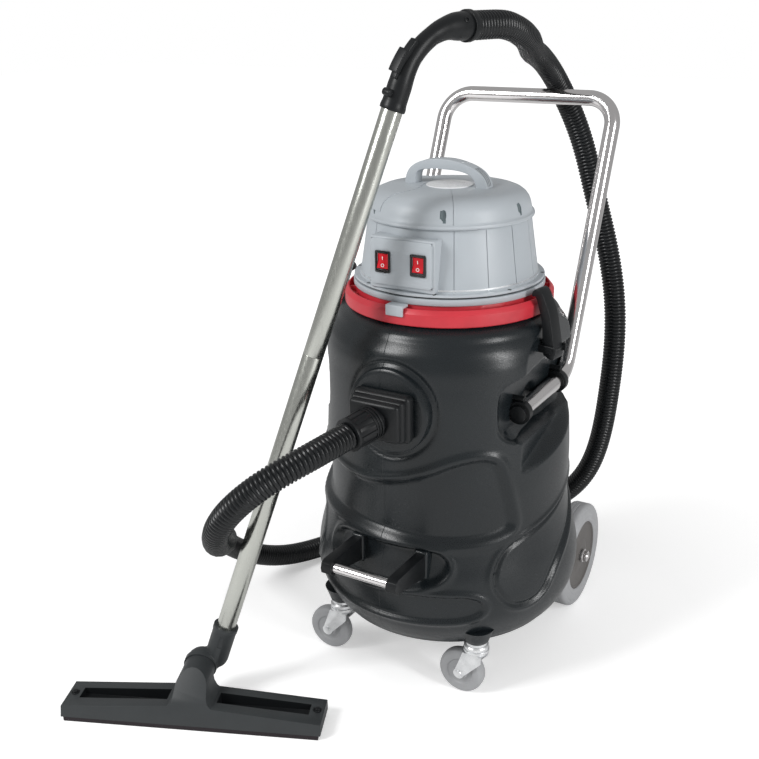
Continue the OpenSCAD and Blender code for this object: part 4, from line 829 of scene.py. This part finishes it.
# %% Rockers and their marks
PIVOT = Vector((PANEL_X, -148, PANEL_Z))
APART = 30.5  # from the panel's middle to each rocker
TIP = math.radians(7)
for side, name in SIDES:
    rocker = eased(cad_copy("rocker_" + name), 0.7, 3, 40)
    piece(rocker, "rocker_skin_" + name, "rocker_" + name, "rocker_red", smooth=40,
          replaces=("rocker_" + name,))
    stroke = block((1.1, 0.5, 5.4), (0, -5.9, 6.6))
    stroke.data.transform(Matrix.Rotation(math.radians(16), 4, "X"))
    loop = turned([(1.9, 0), (2.8, 0), (2.8, 0.5), (1.9, 0.5)], 32)
    moved(loop, Matrix.Translation((0, -0.0058, -0.0066)) @ Matrix.Rotation(math.pi / 2, 4, "X"))
    marks = joined(stroke, loop)
    place = PIVOT + Vector((side * APART, 0, 0))
    moved(marks, Matrix.Translation(place * MM) @ Matrix.Rotation(-TIP, 4, "X"))
    piece(marks, "rocker_marks_" + name, "rocker_" + name, "disc_white", MARK)

# %% [markdown]
# The carry handle is a flat arch with well rounded edges. Three thin dark lines run over its right
# shoulder: black strips laid on it as painted shade of grooves.

# %% Carry handle and disc
ARCH = [(-76, 822), (-75, 840), (-70, 853), (-61, 861.5), (-48, 868), (-30, 872), (-8, 873.2),
        (10, 872.2), (30, 867.8), (46, 862), (57, 855.5), (65, 847), (69.5, 838), (71, 828),
        (71, 822), (52.5, 822), (52, 832), (48, 842), (42, 849.5), (32, 853.8), (14, 857),
        (-21, 857), (-45, 855), (-52.5, 851.5), (-56, 846), (-56.5, 822)]
handle = slab([tuple(p) for p in rounded_loop(ARCH, 2)], 24)
moved(handle, Matrix.Translation((0, 0.012, 0)) @ Matrix.Rotation(math.pi / 2, 4, "X"))
cut(handle, block((200, 60, 20), (0, 0, 813)))
eased(handle, 3.2, 4, 50)
piece(handle, "carry_handle_skin", "head", "head_grey", smooth=50, replaces=("carry_handle",))
shoulder = [Vector((x, z)) for x, z in rounded_loop(ARCH, 2)
            if z > 833 and (x > 55 or x > 44 and z > 858)]
# Black strips over the right shoulder: painted shade standing in for three grooves.
groove_shades = []
for y in (-6.5, -1.5, 3.5):
    line = [(p.x + 0.12, p.y + 0.1) for p in shoulder] \
        + [(p.x - 1.2, p.y - 1.0) for p in shoulder[::-1]]
    groove_shade = slab(line, 1.3)
    groove_shades.append(moved(groove_shade, Matrix.Translation((0, (y + 0.65) * MM, 0))
                         @ Matrix.Rotation(math.pi / 2, 4, "X")))
piece(joined(*groove_shades), "handle_groove_shades", "head", "switch_black")
disc = turned([(0, 832), (38, 832), (38, 832.9), (37.2, 833.5), (0, 833.5)], 96)
piece(disc, "disc_skin", "head", "disc_white", replaces=("dome_disc",))

# %% Ring and clip
ring = eased(cad_copy("bumper_ring"), 1.0, 3, 32)
piece(ring, "ring_skin", "head", "ring_red", smooth=40, replaces=("bumper_ring",))
clip = eased(cad_copy("ring_clip"), 1.2, 3, 40)
piece(clip, "clip_skin", "head", "head_grey", smooth=40, replaces=("ring_clip",))

# %% [markdown]
# Each latch is one black lever on a pin between two ears, with a small bright rivet.

# %% Latches
LEVER = [(167.8, 678), (168.5, 684), (172, 689.5), (178, 692), (184, 689), (188.5, 683),
         (195.5, 667), (201, 654), (206, 632), (210.5, 608), (213.5, 590), (211, 581),
         (204, 582), (190, 588.5), (190, 622), (187.5, 642), (184.5, 653), (180.5, 664),
         (178, 672), (175.5, 678.5)]
for side, name in SIDES:
    lever = slab([tuple(p) for p in rounded_loop(LEVER, 1)], 26)
    turn = -10 if side > 0 else -170
    place = Matrix.Rotation(math.radians(turn), 4, "Z") @ Matrix.Translation((0, 0.013, 0)) \
        @ Matrix.Rotation(math.pi / 2, 4, "X")
    moved(lever, place)
    eased(lever, 1.6, 3, 32)
    rivet = moved(eased(rod(2.2, 29, (197, 596, -1.5), sides=24), 0.5, 2), place)
    piece(lever, "latch_skin_" + name, "latch_" + name, "trim_black", smooth=40,
          replaces=("latch_" + name,))
    piece(rivet, "latch_rivet_" + name, "latch_" + name, "zinc")
ears = []
for turn in (-10, -170):
    place = Matrix.Rotation(math.radians(turn), 4, "Z")
    for y in (-15.2, 15.2):
        ears.append(moved(eased(block((38, 3.2, 12), (198, y, 598)), 1.0, 3), place))
    ears.append(moved(rod(3, 38, (210, -19, 598), sides=32, axis="Y"), place))
piece(joined(*ears), "latch_brackets_skin", "machine", "trim_black", smooth=40,
      replaces=("latch_brackets",))

# %% [markdown]
# The wand, the casters, the floor tool and the small fittings already have their forms in the
# solids. What they lack is smooth shading and mostly soft edges, so most get a bevel of their own.

# %% Soft edges for the plain pieces
def softened(name, body, slot, width, angle=38, smooth=40, segments=3):
    o = cad_copy(name)
    if width:
        eased(o, width, segments, angle)
    return piece(o, name + "_skin", body, slot, smooth=smooth, replaces=(name,))


for name, slot, width in (
        ("tube_caps", "trim_black", 1.0), ("grip_bar", "chrome_tube", 0),
        ("grip_arms", "trim_black", 2.6), ("rear_axle", "axle_steel", 0),
        ("caster_sockets", "zinc", 0.5), ("wand_lower", "wand_steel", 0.4),
        ("wand_upper", "wand_steel", 0.4), ("tank_cuff", "trim_black", 0.5),
        ("grip_collar", "trim_black", 1.0)):
    softened(name, "machine", slot, width)

# %% [markdown]
# The push handle is one bent tube: it lies along each side pocket, bends up, leans back and
# turns over into the bar. Two banded clamps with a bolt hold each foot.

# %% Push handle
FOOT_X, FOOT_Z, FOOT_FRONT, BEND_Y = 163, 495, -78, 96.6
BEND_R, TOP_R = 45, 50
LEAN = math.radians(66.3)
LEG_LENGTH = 407.7
LEG = Vector((0, math.cos(LEAN), math.sin(LEAN)))
tube = [Vector((FOOT_X, y, FOOT_Z)) for y in range(FOOT_FRONT, 96, 6)]
tube += [Vector((FOOT_X, BEND_Y + BEND_R * math.sin(LEAN * k / 16),
                 FOOT_Z + BEND_R - BEND_R * math.cos(LEAN * k / 16))) for k in range(17)]
top = tube[-1] + LEG_LENGTH * LEG
tube += [tube[-1] + (LEG_LENGTH * k / 40) * LEG for k in range(1, 40)]
tube += [top + Vector((TOP_R * math.cos(t) - TOP_R, 0, 0)) + TOP_R * math.sin(t) * LEG
         for t in (math.pi / 2 * k / 20 for k in range(21))]
tube += [Vector((-p.x, p.y, p.z)) for p in reversed(tube)]
line = np.array([list(p) for p in tube])
handle = ribbed_tube("push_handle", line, [13.5] * len(line), 11.5, 40)
piece(handle, "push_handle_skin", "machine", "chrome_tube", smooth=50, replaces=("push_handle",))

# %% Clamps and bolts
bands, bolts = [], []
BOLT_Z = FOOT_Z + 21.5
for side in (-1, 1):
    for y in (-77, 82):
        band = rod(19, 13, (side * FOOT_X, y, FOOT_Z), axis="Y")
        cut(band, block((16, 13, 26), (side * (FOOT_X - 7), y + 6.5, FOOT_Z)),
            operation="UNION")
        cut(band, rod(13.6, 40, (side * FOOT_X, y - 10, FOOT_Z), axis="Y"))
        bands.append(eased(band, 1.4, 3, 40))
        bolt = rod(5.2, 21, (side * 158.5 - 10.5, y + 9, BOLT_Z), sides=32, axis="X")
        cut(bolt, rod(3, 2, (side * 168.5 - 1, y + 9, BOLT_Z), sides=24, axis="X"))
        bolts.append(eased(bolt, 0.9, 3, 40))
piece(joined(*bands), "handle_clamps_skin", "machine", "trim_black", replaces=("handle_clamps",))
piece(joined(*bolts), "clamp_screws_skin", "machine", "trim_black", replaces=("clamp_screws",))

# %% Axle nuts, button, air slide and casters
NUT = [(10.3, 0.4), (13, 0.4), (13, 2), (12, 2.8), (10.5, 3), (10.5, 6.5), (9.6, 7.4),
       (7.5, 7.8), (6.6, 9.6), (4.6, 11.2), (2, 12), (0, 12.1), (0, 9), (10.3, 9)]
nuts = [moved(turned(NUT, 48), frame_at((side * 190, AXLE_Y, AXLE_Z), (side, 0, 0), (0, 0, 1)))
        for side in (-1, 1)]
piece(joined(*nuts), "axle_nuts_skin", "machine", "chrome_tube", smooth=30,
      replaces=("axle_nuts",))
softened("release_button", "release_button", "rocker_red", 0.6)
softened("air_slide", "air_slide", "trim_black", 0.8)
for name in ("left", "right"):
    softened("caster_fork_" + name, "caster_fork_" + name, "zinc", 0.5)
    softened("caster_wheel_" + name, "caster_wheel_" + name, "caster_grey", 0.8, 20)

# %% [markdown]
# The rear wheels are turned: a pale solid tyre with two shallow grooves round its tread and
# steps on its face, and a dark dished hub.

# %% Rear wheels
TYRE_SIDE = [(66.3, 0), (86, 0), (96, 3), (98.6, 5.5), (100, 9), (100, 14.8), (99.1, 15.6),
             (99.1, 16.6), (100, 17.4), (100, 22.6), (99.1, 23.4), (99.1, 24.4), (100, 25.2),
             (100, 31), (98.8, 34.3), (96, 36.8), (92.5, 38), (90.5, 37.4), (88.5, 38.4),
             (84, 39.5), (79, 40), (77, 39.3), (75, 40), (69, 39.2), (66.3, 37.2)]
HUB_SIDE = [(10.3, 0), (24, 0), (26, 12), (56, 12), (58, 0), (66, 0), (66, 36.4), (64.6, 37.2),
            (62.6, 36), (61, 34.9), (36, 33.6), (30, 34.4), (24, 36.4), (20, 37), (10.3, 37)]
for side, name in SIDES:
    place = frame_at((side * 150, AXLE_Y, AXLE_Z), (side, 0, 0), (0, 0, 1))
    tyre = moved(turned(TYRE_SIDE, 160), place)
    piece(tyre, "tyre_skin_" + name, "wheel_" + name, "tyre_grey", smooth=30,
          replaces=("tyre_" + name,))
    hub = moved(turned(HUB_SIDE, 128), place)
    piece(hub, "hub_skin_" + name, "wheel_" + name, "hub_grey", smooth=30,
          replaces=("hub_" + name,))

# %% [markdown]
# The curved grip swells towards the hose. It carries a rail for the air slide, a knob and a screw.

# %% Curved grip
WAND_DIR = Vector((0.266393, 0.190016, 0.944949))
GRIP_SIDE = Vector((0.214574, 0.944082, -0.250333))
GRIP_MOUTH = Vector((-1.04, -183.41, 966.44))
GRIP_CENTRE = Vector((30.54, -81.78, 977.32))
GRIP_BEND = 100.0
GRIP_TURN = math.radians(75.16)
SEAT = 38.0


def on_bend(angle, radius=GRIP_BEND):
    return GRIP_CENTRE + radius * (math.sin(angle) * WAND_DIR - math.cos(angle) * GRIP_SIDE)


axis = [GRIP_MOUTH + s * WAND_DIR for s in range(int(SEAT))]
axis += [on_bend(GRIP_TURN * k / 88) for k in range(88)]
axis += [on_bend(GRIP_TURN) + s * GRIP_DIR for s in range(31)]
GRIP_RINGS = 160
grip_line, grip_length = evenly(np.array([list(q) for q in axis]), GRIP_RINGS)
girth = np.interp(np.linspace(0, grip_length, GRIP_RINGS + 1),
                  [0, 1.5, 7, 8.5, 36, 44, 75, 120, 148, 168, 184, 200],
                  [18.2, 19.0, 19.0, 17.8, 17.6, 17.0, 13.8, 13.6, 16.2, 19.6, 20.6, 18.6])
girth = np.convolve(np.pad(girth, 3, "edge"), [0.1, 0.15, 0.15, 0.2, 0.15, 0.15, 0.1], "valid")
grip = ribbed_tube("grip", grip_line, girth, 11, 48)
rail = slab(arc(0, 0, GRIP_BEND + 10, 2, 32, 12) + arc(0, 0, GRIP_BEND + 20, 32, 2, 12), 12)
across = (-GRIP_SIDE).cross(WAND_DIR)
moved(rail, frame_at(GRIP_CENTRE - 6 * across, across, -GRIP_SIDE))
eased(rail, 1.6, 3)
knob = eased(rod(5.5, 14, (0, 0, -7), sides=32), 1.5, 3)
moved(knob, frame_at(GRIP_MOUTH + 22 * WAND_DIR - 20 * GRIP_SIDE, across, WAND_DIR))
SCREW_SIDE = Vector((0.852, -0.244, 0.463))
boss = turned([(0, 15), (4.6, 15), (4.6, 20.4), (3.9, 21), (2.6, 21), (2.6, 19.6), (0, 19.6)], 32)
moved(boss, frame_at(on_bend(GRIP_TURN) + 4 * GRIP_DIR, SCREW_SIDE, GRIP_DIR))
piece(joined(grip, rail, knob, boss), "grip_skin", "machine", "trim_black", smooth=42,
      replaces=("wand_grip",))

# %% Floor tool
softened("tool_collar", "machine", "tool_grey", 1.0, 40, 45)
tool = softened("tool_body", "floor_tool", "tool_grey", 1.8, 32)
TOOL_PLACE = Matrix.Translation((-0.248, -0.434, 0)) @ Matrix.Rotation(math.radians(22.6), 4, "Z")
to_tool = TOOL_PLACE.inverted()


def in_well_shade(centre):
    """Whether a face, by its centre, is a wall or the floor of a well in the tool's top; these get
    painted shade.
    """
    p = to_tool @ (centre * MM) / MM
    return 41 < abs(p.x) < 196 and -9 < p.y < 19 and 14 < p.z < 30 and (
        p.z < 16.5 or abs(p.y - 5) > 12.4 or abs(p.x) > 194 or abs(p.x) < 43)


# The wells' walls and floors take black plastic: painted shade in the deep slots.
second_finish(tool, BLACK, in_well_shade)
strips = []
for y in (-31.2, 30):
    strip = eased(block((429, 7.2, 9), (0, y, 4.5)), 0.6, 2)
    strips.append(moved(strip, TOOL_PLACE))
piece(joined(*strips), "tool_strips_skin", "floor_tool", "bristle_black",
      replaces=("tool_strips",))
softened("tool_screws", "floor_tool", "trim_black", 0.6)

# %% [markdown]
# The floor is pale and plain, and the light comes from two large soft lamps and a bright sky, so
# that black plastic shows long soft highlights and chrome has something to reflect.

# %% Floor and light
start()
bpy.ops.mesh.primitive_plane_add(size=24, location=(0, 0, -0.0006))
floor = bpy.context.object
floor.name = "floor"
floor_mat, nodes, links, shader = node_tree("floor_paint", (0.93, 0.93, 0.93), 0.9)
shader.inputs["Emission Color"].default_value = (1, 1, 1, 1)
glow = nodes.new("ShaderNodeLightPath")
where = nodes.new("ShaderNodeTexCoord")
reach = nodes.new("ShaderNodeVectorMath")
reach.operation = "LENGTH"
links.new(where.outputs["Object"], reach.inputs[0])
fade = spread(nodes, links, reach.outputs["Value"], 0.38, 0.75, 0.5, 2.0)
links.new(maths(nodes, links, "MULTIPLY", glow.outputs["Is Camera Ray"], fade),
          shader.inputs["Emission Strength"])
floor.data.materials.append(floor_mat)
world = bpy.data.worlds.new("studio")
bpy.context.scene.world = world
world.use_nodes = True
nodes, links = world.node_tree.nodes, world.node_tree.links
sky = nodes["Background"]
sky.inputs["Color"].default_value = (1, 1, 1, 1)
path = nodes.new("ShaderNodeLightPath")
links.new(spread(nodes, links, path.outputs["Is Camera Ray"], 0.40, 1.0, 0.0, 1.0),
          sky.inputs["Strength"])


def lamp(name, at, aim, size, power):
    start()
    bpy.ops.object.light_add(type="AREA", location=at)
    light = bpy.context.object
    light.name = name
    light.data.shape = "RECTANGLE"
    light.data.size, light.data.size_y = size
    light.data.energy = power
    light.rotation_euler = (Vector(aim) - Vector(at)).to_track_quat("-Z", "Y").to_euler()
    return light


lamp("key", (-1.6, -2.6, 2.6), (0, 0, 0.5), (1.0, 1.6), 78)
lamp("side", (2.9, -0.7, 1.5), (0, 0, 0.4), (0.5, 2.0), 50)
bpy.context.scene.view_settings.view_transform = "Standard"
print("stage set")
